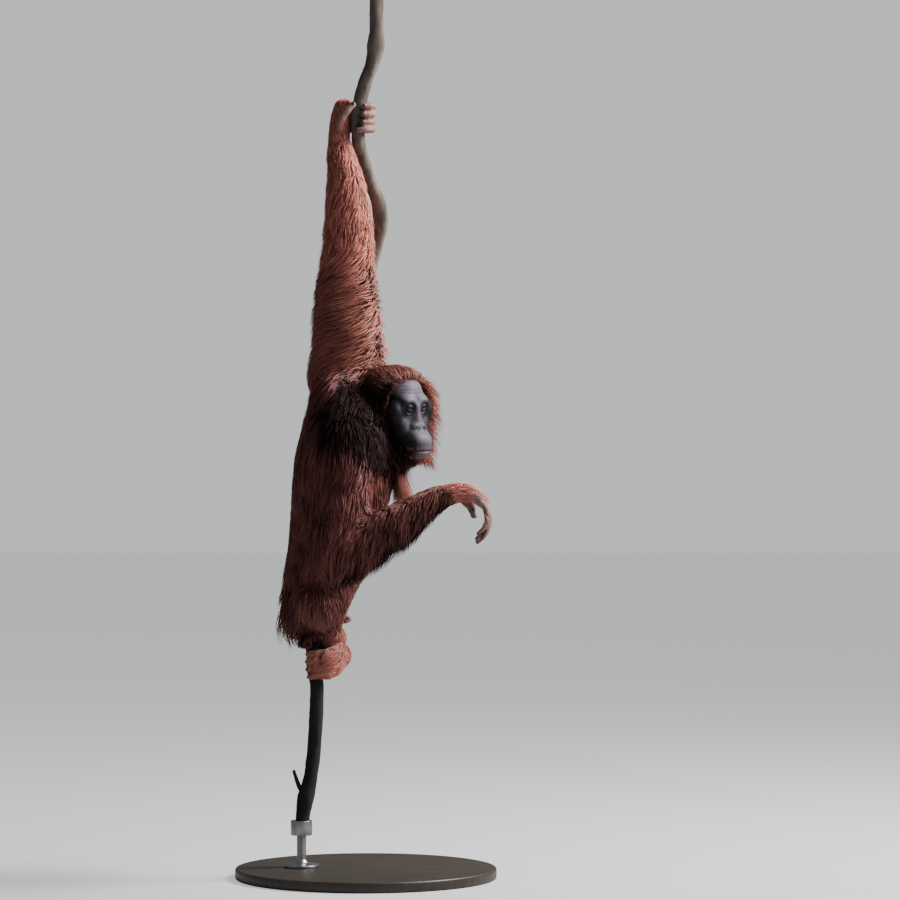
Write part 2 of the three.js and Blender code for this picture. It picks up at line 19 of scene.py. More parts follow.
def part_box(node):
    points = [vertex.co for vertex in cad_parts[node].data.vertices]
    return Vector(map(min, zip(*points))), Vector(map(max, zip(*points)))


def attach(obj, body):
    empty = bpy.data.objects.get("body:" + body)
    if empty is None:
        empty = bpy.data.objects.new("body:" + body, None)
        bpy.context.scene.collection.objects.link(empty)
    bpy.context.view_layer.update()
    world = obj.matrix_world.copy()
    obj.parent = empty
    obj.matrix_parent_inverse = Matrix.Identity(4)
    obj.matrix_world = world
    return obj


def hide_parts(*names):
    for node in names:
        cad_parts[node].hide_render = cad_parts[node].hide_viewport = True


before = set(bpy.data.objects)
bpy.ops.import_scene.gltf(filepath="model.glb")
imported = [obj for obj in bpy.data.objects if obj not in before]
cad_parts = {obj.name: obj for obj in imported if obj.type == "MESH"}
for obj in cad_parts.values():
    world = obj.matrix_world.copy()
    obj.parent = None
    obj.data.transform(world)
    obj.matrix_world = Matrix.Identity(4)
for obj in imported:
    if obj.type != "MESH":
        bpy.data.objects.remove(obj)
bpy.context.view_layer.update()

MM = 0.001

# %% [markdown]
# The photograph was taken from far off, level with the chest. A long lens from the same side
# keeps that flat look. The picture is 900 pixels square and one pixel is 2.6 mm at the animal,
# which gives the width that the lens has to cover.

# %% Camera
PICTURE_PIXELS = 900
PIXEL = 2.6 * MM
CAMERA_AWAY = 9.5
SENSOR = 36.0
camera = bpy.data.objects.new("camera", bpy.data.cameras.new("camera"))
camera.data.sensor_width = SENSOR
camera.data.lens = SENSOR * CAMERA_AWAY / (PICTURE_PIXELS * PIXEL)
camera.data.clip_end = 60
camera.location = (84 * PIXEL, -CAMERA_AWAY, 428 * PIXEL)
camera.rotation_euler = (math.radians(90), 0, 0)
bpy.context.scene.collection.objects.link(camera)
bpy.context.scene.camera = camera
print("lens", round(camera.data.lens, 1), "mm")

# %% [markdown]
# In the forest the light fell from high on the right, so the left side of the animal is dark
# and its right edge glows. In the studio a large soft lamp stands there, a weaker one lights
# the front, and a faint one the left. The room is pale only where the camera sees it. It
# lights the animal less than it seems to, which keeps the darks of the coat deep, and the
# floor glows a little for the camera alone, so that it runs into the room without a line.


# %% Lights and floor
CHEST = Vector((0.0, 0.0, 1.15))
PALE = (0.86, 0.88, 0.88, 1)
ROOM_LIGHT, ROOM_SEEN, FLOOR_GLOW = 0.17, 0.78, 0.62
FLOOR_GREY = 0.4
FLOOR_HALF = 30.0


def soft_lamp(name, place, size, watts, colour):
    lamp = bpy.data.lights.new(name, "AREA")
    lamp.size, lamp.energy, lamp.color = size, watts, colour
    holder = bpy.data.objects.new(name, lamp)
    holder.location = place
    holder.rotation_mode = "QUATERNION"
    holder.rotation_quaternion = (CHEST - Vector(place)).to_track_quat("-Z", "Y")
    bpy.context.scene.collection.objects.link(holder)


def added(nodes, kind, values=()):
    node = nodes.new(kind)
    for name, value in dict(values).items():
        node.inputs[name].default_value = value
    return node


def stronger_to_camera(tree, socket, unseen, seen):
    path = tree.nodes.new("ShaderNodeLightPath")
    level = added(tree.nodes, "ShaderNodeMapRange", {"To Min": unseen, "To Max": seen})
    tree.links.new(path.outputs["Is Camera Ray"], level.inputs["Value"])
    tree.links.new(level.outputs["Result"], socket)


def new_material(name, values):
    material = bpy.data.materials.new(name)
    material.use_nodes = True
    surface = material.node_tree.nodes["Principled BSDF"]
    for socket, value in values.items():
        surface.inputs[socket].default_value = value
    return material, material.node_tree.nodes, material.node_tree.links, surface


soft_lamp("high_right", (3.0, 0.3, 3.6), 1.5, 460, (1.0, 0.97, 0.96))
soft_lamp("front_right", (4.3, -2.5, 3.2), 2.2, 120, (0.90, 0.93, 1.0))
soft_lamp("left", (-3.4, -1.6, 2.2), 2.4, 10, (0.9, 0.92, 1.0))

world = bpy.data.worlds.new("pale room")
world.use_nodes = True
room = world.node_tree.nodes["Background"]
room.inputs["Color"].default_value = PALE
stronger_to_camera(world.node_tree, room.inputs["Strength"], ROOM_LIGHT, ROOM_SEEN)
bpy.context.scene.world = world

ground = bmesh.new()
bmesh.ops.create_grid(ground, x_segments=1, y_segments=1, size=FLOOR_HALF)
floor = bpy.data.objects.new("floor", bpy.data.meshes.new("floor"))
ground.to_mesh(floor.data)
ground.free()
floor_paint, nodes, links, paint = new_material("pale floor", {
    "Base Color": (FLOOR_GREY, FLOOR_GREY, FLOOR_GREY, 1), "Roughness": 0.9, "Emission Color": PALE})
stronger_to_camera(floor_paint.node_tree, paint.inputs["Emission Strength"], 0.0, FLOOR_GLOW)
floor.data.materials.append(floor_paint)
bpy.context.scene.collection.objects.link(floor)
print("three soft lamps and a floor")

# %% [markdown]
# Limbs, digits and the liana all follow a bent line. A Catmull-Rom curve passes through every
# point that it is given, so a line is drawn with a few joints and the curve rounds the bends.
# Each row holds a place and, for a limb, its two half-widths and the direction that the first
# one is measured along.


# %% Bent lines
def through(rows, per_span):
    rows = np.asarray(rows, float)
    first = 2 * rows[0] - rows[1]
    last = 2 * rows[-1] - rows[-2]
    ends = np.vstack([first, rows, last])
    made = []
    for a, b, c, d in zip(ends[:-3], ends[1:-2], ends[2:-1], ends[3:]):
        gaps = [
            max(np.linalg.norm(q[:3] - p[:3]), 1e-9) ** 0.5 for p, q in ((a, b), (b, c), (c, d))]
        before = (b - a) / gaps[0] - (c - a) / (gaps[0] + gaps[1]) + (c - b) / gaps[1]
        after = (c - b) / gaps[1] - (d - b) / (gaps[1] + gaps[2]) + (d - c) / gaps[2]
        before, after = before * gaps[1], after * gaps[1]
        for k in range(per_span):
            t = k / per_span
            made.append(
                b + before * t + (3 * c - 3 * b - 2 * before - after) * t**2
                + (2 * b - 2 * c + before + after) * t**3
            )
    made.append(rows[-1])
    return np.array(made)


def in_metres(rows):
    rows = np.array(rows, float)
    rows[:, :5] *= MM
    return rows


def unit(vectors):
    return vectors / np.maximum(np.linalg.norm(vectors, axis=-1, keepdims=True), 1e-12)


def sections(line, upright=False):
    tangent = unit(np.gradient(line[:, :3], axis=0))
    if upright:
        side = np.tile([0.0, 0.0, 1.0], (len(line), 1))
    else:
        turn = np.radians(line[:, 5])
        side = np.stack([np.cos(turn), np.sin(turn), np.zeros(len(line))], axis=1)
    side = unit(side - tangent * np.sum(side * tangent, axis=1, keepdims=True))
    return tangent, side, np.cross(tangent, side)


def new_piece(name, mesh, material, slot, *nodes):
    piece = bpy.data.objects.new(name, mesh)
    bpy.context.scene.collection.objects.link(piece)
    if material is not None and not mesh.materials:
        mesh.materials.append(material)
    mesh.shade_smooth()
    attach(piece, "root")
    if nodes:
        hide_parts(*nodes)
    return piece


def mesh_of(work, name):
    mesh = bpy.data.meshes.new(name)
    work.to_mesh(mesh)
    work.free()
    return mesh


print("a curve through three points has", len(through(np.zeros((3, 6)), 4)), "samples")

# %% [markdown]
# Most surfaces here are a base colour that drifts a little and a roughness to match. A small
# shader group gives that drift from Object coordinates, stretched along one axis where the
# finish has a direction, and each material feeds it into its own Principled shader.


# %% Drift of a colour over a surface
def shader_group(name, inputs, outputs):
    group = bpy.data.node_groups.new(name, "ShaderNodeTree")
    for side, sockets in (("INPUT", inputs), ("OUTPUT", outputs)):
        for socket, kind in sockets.items():
            group.interface.new_socket(socket, in_out=side, socket_type="NodeSocket" + kind)
    nodes = group.nodes
    return group, nodes, group.links, nodes.new("NodeGroupInput"), nodes.new("NodeGroupOutput")


def drift_group():
    group, nodes, links, start, end = shader_group(
        "colour drift", {"Dark": "Color", "Light": "Color", "Scale": "Float", "Stretch": "Vector"},
        {"Colour": "Color", "Height": "Float"})
    place = nodes.new("ShaderNodeTexCoord")
    squeeze = nodes.new("ShaderNodeVectorMath")
    squeeze.operation = "MULTIPLY"
    clouds = added(nodes, "ShaderNodeTexNoise", {"Detail": 6, "Roughness": 0.62})
    blend = nodes.new("ShaderNodeMix")
    blend.data_type = "RGBA"
    spread = added(nodes, "ShaderNodeMapRange", {"From Min": 0.3, "From Max": 0.7})
    links.new(place.outputs["Object"], squeeze.inputs[0])
    links.new(start.outputs["Stretch"], squeeze.inputs[1])
    links.new(squeeze.outputs[0], clouds.inputs["Vector"])
    links.new(start.outputs["Scale"], clouds.inputs["Scale"])
    links.new(clouds.outputs["Fac"], spread.inputs["Value"])
    links.new(spread.outputs["Result"], blend.inputs["Factor"])
    links.new(start.outputs["Dark"], blend.inputs["A"])
    links.new(start.outputs["Light"], blend.inputs["B"])
    links.new(blend.outputs["Result"], end.inputs["Colour"])
    links.new(clouds.outputs["Fac"], end.inputs["Height"])
    return group


DRIFT = drift_group()


def relief(nodes, links, height, surface, strength, depth):
    bump = added(nodes, "ShaderNodeBump", {"Strength": strength, "Distance": depth})
    links.new(height, bump.inputs["Height"])
    links.new(bump.outputs["Normal"], surface.inputs["Normal"])


def drifting(name, dark, light, roughness, scale, stretch, bump, depth=1 * MM, metal=0.0):
    material, nodes, links, surface = new_material(name, {"Roughness": roughness, "Metallic": metal})
    drift = nodes.new("ShaderNodeGroup")
    drift.node_tree = DRIFT
    for socket, value in (
            ("Dark", (*dark, 1)), ("Light", (*light, 1)), ("Scale", scale), ("Stretch", stretch)):
        drift.inputs[socket].default_value = value
    links.new(drift.outputs["Colour"], surface.inputs["Base Color"])
    relief(nodes, links, drift.outputs["Height"], surface, bump, depth)
    return material


def colour_mix(nodes, links, mask, dark, light):
    blend = nodes.new("ShaderNodeMix")
    blend.data_type = "RGBA"
    links.new(mask, blend.inputs["Factor"])
    for value, name in ((dark, "A"), (light, "B")):
        if isinstance(value, tuple):
            blend.inputs[name].default_value = (*value, 1)
        else:
            links.new(value, blend.inputs[name])
    return blend.outputs["Result"]


def painted(nodes, name):
    mark = nodes.new("ShaderNodeAttribute")
    mark.attribute_name = name
    return mark.outputs["Fac"]


def multiplied(nodes, links, colour, by, strength):
    product = nodes.new("ShaderNodeMix")
    product.data_type = "RGBA"
    product.blend_type = "MULTIPLY"
    product.inputs["Factor"].default_value = strength
    links.new(colour, product.inputs["A"])
    links.new(by, product.inputs["B"])
    return product.outputs["Result"]


def mark(mesh, name, values):
    layer = mesh.attributes.new(name, "FLOAT", "POINT")
    layer.data.foreach_set("value", np.asarray(values, float))


print("group", DRIFT.name, "has", len(DRIFT.nodes), "nodes")

# %% [markdown]
# The stand isn't in the photograph. It holds the foot of the liana: a round dark board, a
# short steel rod and a socket. Each is a turned piece, so its half outline is spun round an
# upright axis. The outlines come from the boxes of the solids, and a bevel softens each edge
# so that it catches the light.


# %% Turned pieces of the stand
def turned(name, outline, axis, steps, bevel):
    work = bmesh.new()
    corners = [work.verts.new((axis[0] + r, axis[1], z)) for r, z in outline]
    edges = [work.edges.new(pair) for pair in zip(corners, corners[1:])]
    bmesh.ops.spin(
        work, geom=corners + edges, cent=(axis[0], axis[1], 0), axis=(0, 0, 1),
        angle=2 * math.pi, steps=steps, use_merge=True,
    )
    bmesh.ops.remove_doubles(work, verts=work.verts, dist=1e-5)
    bmesh.ops.recalc_face_normals(work, faces=work.faces)
    sharp = [e for e in work.edges if len(e.link_faces) == 2 and e.calc_face_angle() > math.radians(35)]
    bmesh.ops.bevel(
        work, geom=sharp, offset=bevel, affect="EDGES", segments=3, profile=0.5, material=-1,
    )
    return mesh_of(work, name)


_, board_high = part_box("stand_base")
rod_low, rod_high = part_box("stand_rod")
socket_low, socket_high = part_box("stand_socket")
board_radius = board_high.x
rod_axis = ((rod_low.x + rod_high.x) / 2, (rod_low.y + rod_high.y) / 2)
ROD_RADIUS = 12 * MM
plate_radius = (rod_high.x - rod_low.x) / 2
socket_radius = (socket_high.x - socket_low.x) / 2

stained_wood = drifting(
    "dark stained wood", (0.018, 0.014, 0.011), (0.05, 0.038, 0.028), 0.42, 9, (1, 14, 1), 0.15)
brushed_steel = drifting(
    "brushed steel", (0.3, 0.3, 0.31), (0.44, 0.44, 0.45), 0.34, 60, (1, 1, 12), 0.05, metal=1.0)

board = turned(
    "board", [(0, 0), (board_radius, 0), (board_radius, board_high.z), (0, board_high.z)],
    (0, 0), 96, 5 * MM)
rod = turned(
    "rod",
    [(0, rod_low.z), (plate_radius, rod_low.z), (plate_radius, rod_low.z + 7 * MM),
     (ROD_RADIUS + 6 * MM, rod_low.z + 12 * MM), (ROD_RADIUS, rod_low.z + 20 * MM),
     (ROD_RADIUS, rod_high.z), (0, rod_high.z)],
    rod_axis, 48, 1.2 * MM)
socket = turned(
    "socket",
    [(0, socket_low.z), (socket_radius, socket_low.z), (socket_radius, socket_high.z),
     (socket_radius - 4 * MM, socket_high.z), (socket_radius - 5 * MM, socket_high.z - 14 * MM),
     (0, socket_high.z - 14 * MM)],
    rod_axis, 48, 1.0 * MM)
new_piece("stand_board", board, stained_wood, "stand_board", "stand_base")
new_piece("stand_post", rod, brushed_steel, "stand_steel", "stand_rod")
new_piece("stand_cup", socket, brushed_steel, "stand_steel", "stand_socket")
print("stand", round(2 * board_radius, 3), "m across")

# %% [markdown]
# The liana is a woody stem as thick as a wrist. It bends behind the raised arm, passes behind
# the back and comes out between the feet. A curve with a round bevel gives a clean tube along
# its line. The bark is then pressed into the tube: long ridges that twist slowly round it,
# knots where a leaf once grew, and fine cracks from noise.

# %% Line of the liana
LIANA_POINTS = [
    (26, 45, 2304), (26, 45, 2232), (25, 45, 2166), (13, 47, 2114), (-3, 48, 2075),
    (-14, 50, 2036), (-21, 52, 1992), (-22, 60, 1945), (-16, 86, 1893), (3, 114, 1828),
    (26, 134, 1776), (34, 152, 1724), (28, 170, 1672), (8, 184, 1600), (-15, 196, 1480),
    (-32, 205, 1300), (-35, 208, 1120), (-22, 196, 960), (-14, 162, 850), (-42, 104, 750),
    (-84, 52, 670), (-126, 6, 600), (-133, -3, 550), (-128, -3, 500), (-129, 0, 430),
    (-134, 0, 350), (-145, 0, 262), (-163, 0, 178), (-168, 0, 118),
]
TWIG_POINTS = [(-150, 0, 206), (-172, -4, 236), (-184, -6, 268), (-188, -6, 281)]
LIANA_RADIUS = 18 * MM
KNOTS = ((2172, 5, 26), (1728, 3, 40), (560, 3, 30), (205, 4, 30))
liana_line = through(np.array(LIANA_POINTS) * MM, 17)


def liana_radius(height):
    swell = sum(
        high * np.exp(-(((height / MM - level) / spread) ** 2)) for level, high, spread in KNOTS)
    return LIANA_RADIUS + swell * MM


def liana_at(height):
    order = np.argsort(liana_line[:, 2])
    levels = liana_line[order, 2]
    return np.array([np.interp(height, levels, liana_line[order, k]) for k in (0, 1)] + [height])


def run_along(line):
    steps = np.linalg.norm(np.diff(line[:, :3], axis=0), axis=1)
    return np.concatenate([[0], np.cumsum(steps)])


print("liana", round(float(run_along(liana_line)[-1]), 2), "m long")


# %% Stems with bark
def stem(name, line, radii, sides):
    curve = bpy.data.curves.new(name, "CURVE")
    curve.dimensions = "3D"
    curve.bevel_depth = 1.0
    curve.bevel_resolution = sides // 4 - 1
    curve.use_fill_caps = True
    run = curve.splines.new("POLY")
    run.points.add(len(line) - 1)
    run.points.foreach_set("co", np.column_stack([line, np.ones(len(line))]).ravel())
    run.points.foreach_set("radius", np.asarray(radii, float))
    holder = bpy.data.objects.new(name, curve)
    mesh = bpy.data.meshes.new_from_object(holder)
    bpy.data.objects.remove(holder)
    return mesh


def tree_of(points):
    tree = KDTree(len(points))
    for number, place in enumerate(points):
        tree.insert(place, number)
    tree.balance()
    return tree


def points_of(mesh):
    flat = np.empty(len(mesh.vertices) * 3)
    mesh.vertices.foreach_get("co", flat)
    return flat.reshape(-1, 3)


RIDGE_TWIST = 2.2


def press_bark(mesh, line, ridges, depth):
    points = points_of(mesh)
    tree = tree_of(line)
    nearest = np.array([tree.find(p)[1] for p in points])
    centres = line[nearest]
    run = run_along(line)[nearest]
    tangent = unit(np.gradient(line, axis=0))[nearest]
    out = points - centres
    out -= tangent * np.sum(out * tangent, axis=1, keepdims=True)
    around = np.arctan2(out[:, 1], out[:, 0]) + run * RIDGE_TWIST
    wander = np.array([noise.noise(Vector((s * 7.0, 0.3, 1.7))) for s in run])
    grooves = np.abs(np.sin(around * ridges / 2 + 1.5 * wander)) ** 0.6 - 0.7
    rough = np.array([
        noise.fractal(Vector((p[0] * 60, p[1] * 60, p[2] * 14)), 0.6, 2.1, 4) for p in points])
    points = points + unit(out) * ((grooves + 1.1 * rough) * depth)[:, None]
    mesh.vertices.foreach_set("co", points.ravel())
    mesh.update()


liana_mesh = stem("liana", liana_line, [liana_radius(z) for z in liana_line[:, 2]], 32)
press_bark(liana_mesh, liana_line, 7, 1.5 * MM)
twig_line = through(np.array(TWIG_POINTS) * MM, 8)
twig_mesh = stem("twig", twig_line, np.linspace(7.5, 4, len(twig_line)) * MM, 16)
press_bark(twig_mesh, twig_line, 4, 0.6 * MM)
# Painted shade: below 0.78 m the bark is mixed towards a dark tint, fading in over 0.24 m.
BARK_SHADE_BELOW, BARK_SHADE_FADE, BARK_SHADE_TINT = 0.78, 0.24, (0.05, 0.055, 0.05)
bark = drifting(
    "grey-brown bark", (0.035, 0.026, 0.022), (0.2, 0.16, 0.13), 0.92, 26, (1, 1, 0.16), 0.7, 2 * MM)
nodes, links = bark.node_tree.nodes, bark.node_tree.links
surface = nodes["Principled BSDF"]
plain_bark = surface.inputs["Base Color"].links[0].from_socket
bark_shade = colour_mix(nodes, links, painted(nodes, "bark_shade"), (1.0, 1.0, 1.0), BARK_SHADE_TINT)
links.new(multiplied(nodes, links, plain_bark, bark_shade, 1.0), surface.inputs["Base Color"])
for mesh in (liana_mesh, twig_mesh):
    mark(mesh, "bark_shade", np.clip((BARK_SHADE_BELOW - points_of(mesh)[:, 2]) / BARK_SHADE_FADE, 0, 1))
new_piece("liana", liana_mesh, bark, "bark", "perch_liana")
new_piece("liana_twig", twig_mesh, bark, "bark")
print("liana has", len(liana_mesh.polygons), "faces")

# %% [markdown]
# The flesh is drawn limb by limb from the joints. Each row of a limb is a station: its place,
# its two half-widths and the heading of the first of them, in millimetres and degrees. The
# stations lie inside the solids by the depth of the coat, which is 10 to 20 mm on the limbs,
# more on the back, and most under the forearm and the rump, where the hair hangs free. On the
# hands and feet, which are bare, skin and solid have the same size.

# %% Stations of the flesh
LIMBS = {
    "trunk": [
        (-150, -4, 700, 46, 82, 38), (-132, -2, 745, 58, 100, 38), (-108, 0, 830, 72, 116, 32),
        (-86, 0, 931, 92, 130, 24), (-54, -4, 1048, 118, 144, 16), (-48, -2, 1140, 108, 136, 12),
        (-48, 26, 1215, 88, 94, 10), (-48, 60, 1268, 76, 62, 8)],
    "neck": [(-30, 4, 1176, 74, 72, 90), (12, 0, 1196, 68, 68, 90), (48, 0, 1212, 60, 58, 90)],
    "throat": [(52, -10, 1150, 46, 52, 0), (50, -10, 1112, 44, 48, 0)],
    "upper_arm_left": [
        (-52, 78, 1285, 80, 66, 0), (-45, 84, 1372, 72, 60, 0), (-48, 83, 1450, 62, 54, 0),
        (-49, 80, 1530, 54, 48, 0), (-48, 75, 1612, 50, 46, 0)],
    "forearm_left": [
        (-48, 75, 1612, 49, 46, 0), (-47, 73, 1690, 48, 44, 0), (-50, 68, 1762, 42, 39, 0),
        (-58, 64, 1830, 35, 32, 0), (-68, 62, 1888, 28, 28, 10), (-72, 62, 1922, 26, 28, 20)],
    "upper_arm_right": [
        (-42, -112, 1128, 58, 50, 0), (-42, -130, 1060, 52, 47, 0), (-48, -147, 980, 48, 43, 0),
        (-58, -158, 900, 48, 43, 0), (-62, -163, 848, 45, 41, 0)],
    "forearm_right": [
        (-62, -163, 850, 43, 42, 90), (5, -168, 886, 41, 42, 90), (75, -170, 928, 37, 37, 90),
        (132, -172, 962, 33, 31, 90), (185, -174, 990, 29, 25, 90), (231, -175, 1003, 29, 24, 90)],
    "thigh_right": [
        (-122, -58, 708, 52, 56, 60), (-80, -22, 772, 46, 50, 60), (-10, 38, 842, 42, 42, 60)],
    "shin_right": [
        (-10, 39, 844, 41, 41, 90), (-56, 20, 779, 36, 32, 90), (-82, -4, 708, 29, 27, 90),
        (-92, -20, 650, 25, 25, 90), (-84, 0, 600, 24, 26, 45), (-68, 22, 578, 24, 28, 0)],
    "thigh_left": [
        (-146, 62, 714, 54, 56, 0), (-118, 144, 774, 52, 52, 0), (-64, 228, 840, 44, 44, 0)],
    "shin_left": [
        (-62, 230, 842, 45, 45, 0), (-73, 194, 784, 42, 41, 0), (-95, 140, 714, 33, 32, 0),
        (-108, 104, 664, 25, 25, 0), (-96, 100, 634, 25, 27, -40)],
    "palm_left": [
        (-72, 62, 1922, 26, 28, 20), (-71, 76, 1952, 24, 36, 20), (-67, 84, 1984, 22, 40, 24),
        (-61, 87, 2014, 18, 34, 28)],
    "palm_right": [
        (231, -175, 1003, 29, 24, 90), (258, -172, 1004, 36, 21, 90), (284, -170, 994, 40, 18, 90),
        (300, -169, 980, 38, 15, 90)],
    "sole_right": [
        (-64, 36, 572, 22, 24, 0), (-68, 8, 578, 26, 32, 0), (-80, -20, 568, 20, 40, -25),
        (-96, -38, 558, 14, 38, -40)],
    "sole_left": [
        (-78, 108, 618, 24, 24, -40), (-98, 92, 636, 26, 32, -40), (-118, 76, 640, 20, 38, -44),
        (-134, 60, 636, 14, 36, -50)],
}


def limb_line(name, per_span=8):
    return through(in_metres(LIMBS[name]), per_span)


print(len(LIMBS), "limbs with", sum(len(rows) for rows in LIMBS.values()), "stations")

# %% [markdown]
# Sixteen long fingers and toes hook round the liana or hang from the hand, with thumbs and
# big toes against them. A gripping digit leaves the palm and bends in to the bark while it
# turns round the stem. A hanging one is a chain of bones, each bent down from the last. Both
# swell a little at the joints, and each digit keeps the direction of its back for its nail.

# %% Lines of the digits
FINGER_RADIUS = 9.5
TOE_RADIUS = 8.8
KNUCKLES = (0.02, 0.36, 0.68)
KNUCKLE_SWELL = 0.11
FIRST_TILT, BENDS = -18.0, (22, 34, 34, 28)


def knuckled(line):
    share = np.linspace(0, 1, len(line))
    swell = sum(np.exp(-(((share - k) / 0.07) ** 2)) for k in KNUCKLES)
    line[:, 3:5] *= (0.95 + KNUCKLE_SWELL * swell)[:, None]
    return line


def gripping(root, level, drop, turn, reach, radius):
    rows = [(*root, radius * 1.12, radius * 1.12, 0)]
    for share in np.linspace(0, 1, 6):
        angle = math.radians(turn[0] + (turn[1] - turn[0]) * share)
        height = level - drop * share
        centre = liana_at(height * MM) / MM
        out = reach[0] * (1 - share) ** 2 + reach[1] * 2 * share * (1 - share) + reach[2] * share**2
        thick = radius * (1.06 - 0.22 * share)
        rows.append((
            centre[0] + out * math.cos(angle), centre[1] + out * math.sin(angle), height,
            thick, thick, 0))
    return knuckled(through(in_metres(rows), 7))


def hanging(root, heading, bones, radius):
    rows = [(*root, radius * 1.12, radius * 1.12, heading + 90)]
    place = np.array(root, float)
    tilt = FIRST_TILT
    for k, (length, bend) in enumerate(zip(bones, BENDS)):
        tilt -= bend
        level, up = math.cos(math.radians(tilt)) * length, math.sin(math.radians(tilt)) * length
        turn = math.radians(heading)
        place = place + np.array([math.cos(turn) * level, math.sin(turn) * level, up])
        thick = radius * (1.04 - 0.1 * (k + 1))
        rows.append((*place, thick, thick, heading + 90))
    return knuckled(through(in_metres(rows), 9))


def plain_digit(rows):
    return knuckled(through(in_metres(rows), 10))


DIGITS = {}
FINGER_NAMES = ("index", "middle", "ring", "little")
TOE_NAMES = ("second", "third", "fourth", "fifth")
BONES = ((14, 36, 34, 26), (16, 39, 37, 27), (15, 37, 35, 26), (13, 30, 29, 22))
for i, name in enumerate(FINGER_NAMES):
    end = -96 if name == "little" else -62
    DIGITS[f"{name}_finger_left"] = gripping(
        (-58, 88, 2014 - 20 * i), 2016 - 20 * i, 6 + i, (118, end), (33, 46, 28.5), FINGER_RADIUS)
    DIGITS[f"{name}_finger_right"] = hanging(
        (296, -139 - 20.5 * i, 980), 4 - 4 * i, BONES[i], FINGER_RADIUS * (0.9 if i == 3 else 1))
for i, name in enumerate(TOE_NAMES):
    DIGITS[f"{name}_toe_right"] = gripping(
        (-97, -40, 588 - 19.5 * i), 589 - 19.5 * i, 6, (-66, -134 + 4 * i), (42, 38, 27.5),
        TOE_RADIUS)
    DIGITS[f"{name}_toe_left"] = gripping(
        (-134, 58, 666 - 19.5 * i), 667 - 19.5 * i, 6, (150, 226), (41, 37, 27.5), TOE_RADIUS)
DIGITS["thumb_left"] = plain_digit([
    (-72, 48, 1950, 11.5, 11.5, 0), (-64, 26, 1975, 10.5, 10.5, 0), (-50, 19, 1996, 9.5, 9.5, 0),
    (-34, 20, 2012, 8.5, 8.5, 0)])
DIGITS["thumb_right"] = plain_digit([
    (246, -146, 994, 11.5, 11.5, 0), (262, -132, 978, 10.5, 10.5, 0), (274, -126, 960, 9.5, 9.5, 0),
    (279, -124, 944, 8.5, 8.5, 0)])
DIGITS["big_toe_right"] = gripping(
    (-74, 10, 596), 600, -5, (34, 110), (46, 38, 30.5), TOE_RADIUS * 1.25)
DIGITS["big_toe_left"] = gripping(
    (-96, 80, 664), 668, -6, (62, -16), (44, 37, 30.5), TOE_RADIUS * 1.25)
print(len(DIGITS), "digits")

# %% [markdown]
# The head gets the most care. It is drawn in its own axes, in millimetres: x forwards, y to
# its left, z up, from the middle of the skull. A form here is a function that gives each
# point its distance from a surface, and forms melt into each other or bite into each other,
# which suits soft flesh better than faces pulled about by hand. The egg shapes have the
# places of the head's solid, so the profile and the muzzle stay the same.

# %% Forms that melt together
FACE_YAW, FACE_PITCH, FACE_ROLL = -43, 17, 3
SKULL = Vector((80, 0, 1247)) * MM
head_turn = (
    Matrix.Rotation(math.radians(FACE_YAW), 3, "Z")
    @ Matrix.Rotation(math.radians(FACE_PITCH), 3, "Y")
    @ Matrix.Rotation(math.radians(FACE_ROLL), 3, "X")
)
HEAD_AXES = np.array(head_turn)


def both_sides(q):
    return q * (1, 0, 1) + np.abs(q * (0, 1, 0))


def to_head(points):
    return (np.asarray(points, float) - np.array(SKULL)) @ HEAD_AXES / MM


def from_head(points):
    return np.asarray(points, float) * MM @ HEAD_AXES.T + np.array(SKULL)


def egg(p, centre, radii):
    q = p - np.array(centre, float)
    near = np.linalg.norm(q / radii, axis=1)
    slope = np.linalg.norm(q / np.square(radii), axis=1)
    return near * (near - 1) / np.maximum(slope, 1e-6)


def bar(p, start, end, radius):
    start, axis = np.array(start, float), np.subtract(end, start).astype(float)
    share = np.clip((p - start) @ axis / (axis @ axis), 0, 1)
    return np.linalg.norm(p - start - share[:, None] * axis, axis=1) - radius


def melt(a, b, width):
    h = np.maximum(width - np.abs(a - b), 0) / width
    return np.minimum(a, b) - h * h * width / 4


def bite(a, b, width):
    return -melt(-a, b, width)


def ridge(x, middle, width):
    return np.exp(-(((x - middle) / width) ** 2))


def rise(x, low, high):
    t = np.clip((x - low) / (high - low), 0, 1)
    return t * t * (3 - 2 * t)


check = np.array([[0.0, 0.0, 0.0], [20.0, 0.0, 0.0]])
print("distances from an egg:", egg(check, (0, 0, 0), (10, 10, 10)))

# %% [markdown]
# The flesh of the face: a low brow with a rim round each eye, eyes close together, a flat nose
# with two slits, and a muzzle that stands far forward with a deep smooth upper lip. The lids
# are a thin shell over each eyeball, cut by an almond opening. Folds are shallow valleys added
# to the distance, so that they follow the surface wherever it bends.

# %% Field of the face
EYE = np.array((66.5, 24.5, -3.0))
EYE_RADIUS = 11.5
LID_THICKNESS = 1.6
OPENING = (9.4, 5.0)
EAR = np.array((4.0, 82.0, -16.0))
NOSTRIL = np.array((100.0, 11.4, -51.0))
HEAD_EGGS = (
    ((-6, 0, 12), (76, 64, 62), 10), ((58, 24, 12), (19, 25, 15), 14),
    ((50, 56, -22), (25, 22, 30), 20), ((40, 0, -56), (46, 54, 62), 20),
    ((83, 0, -87), (52, 54, 36), 30), ((81, 0, -114), (50, 47, 23), 12),
    ((24, 0, -90), (62, 58, 42), 20), ((-10, 0, -20), (52, 73, 50), 18),
    ((60, 42, -60), (24, 19, 30), 16),
)


def off_eye(q):
    across, up = q[:, 1] - EYE[1], q[:, 2] - EYE[2]
    droop = up - 0.10 * across + 0.3
    return across, up, np.hypot(across / OPENING[0], droop / OPENING[1])


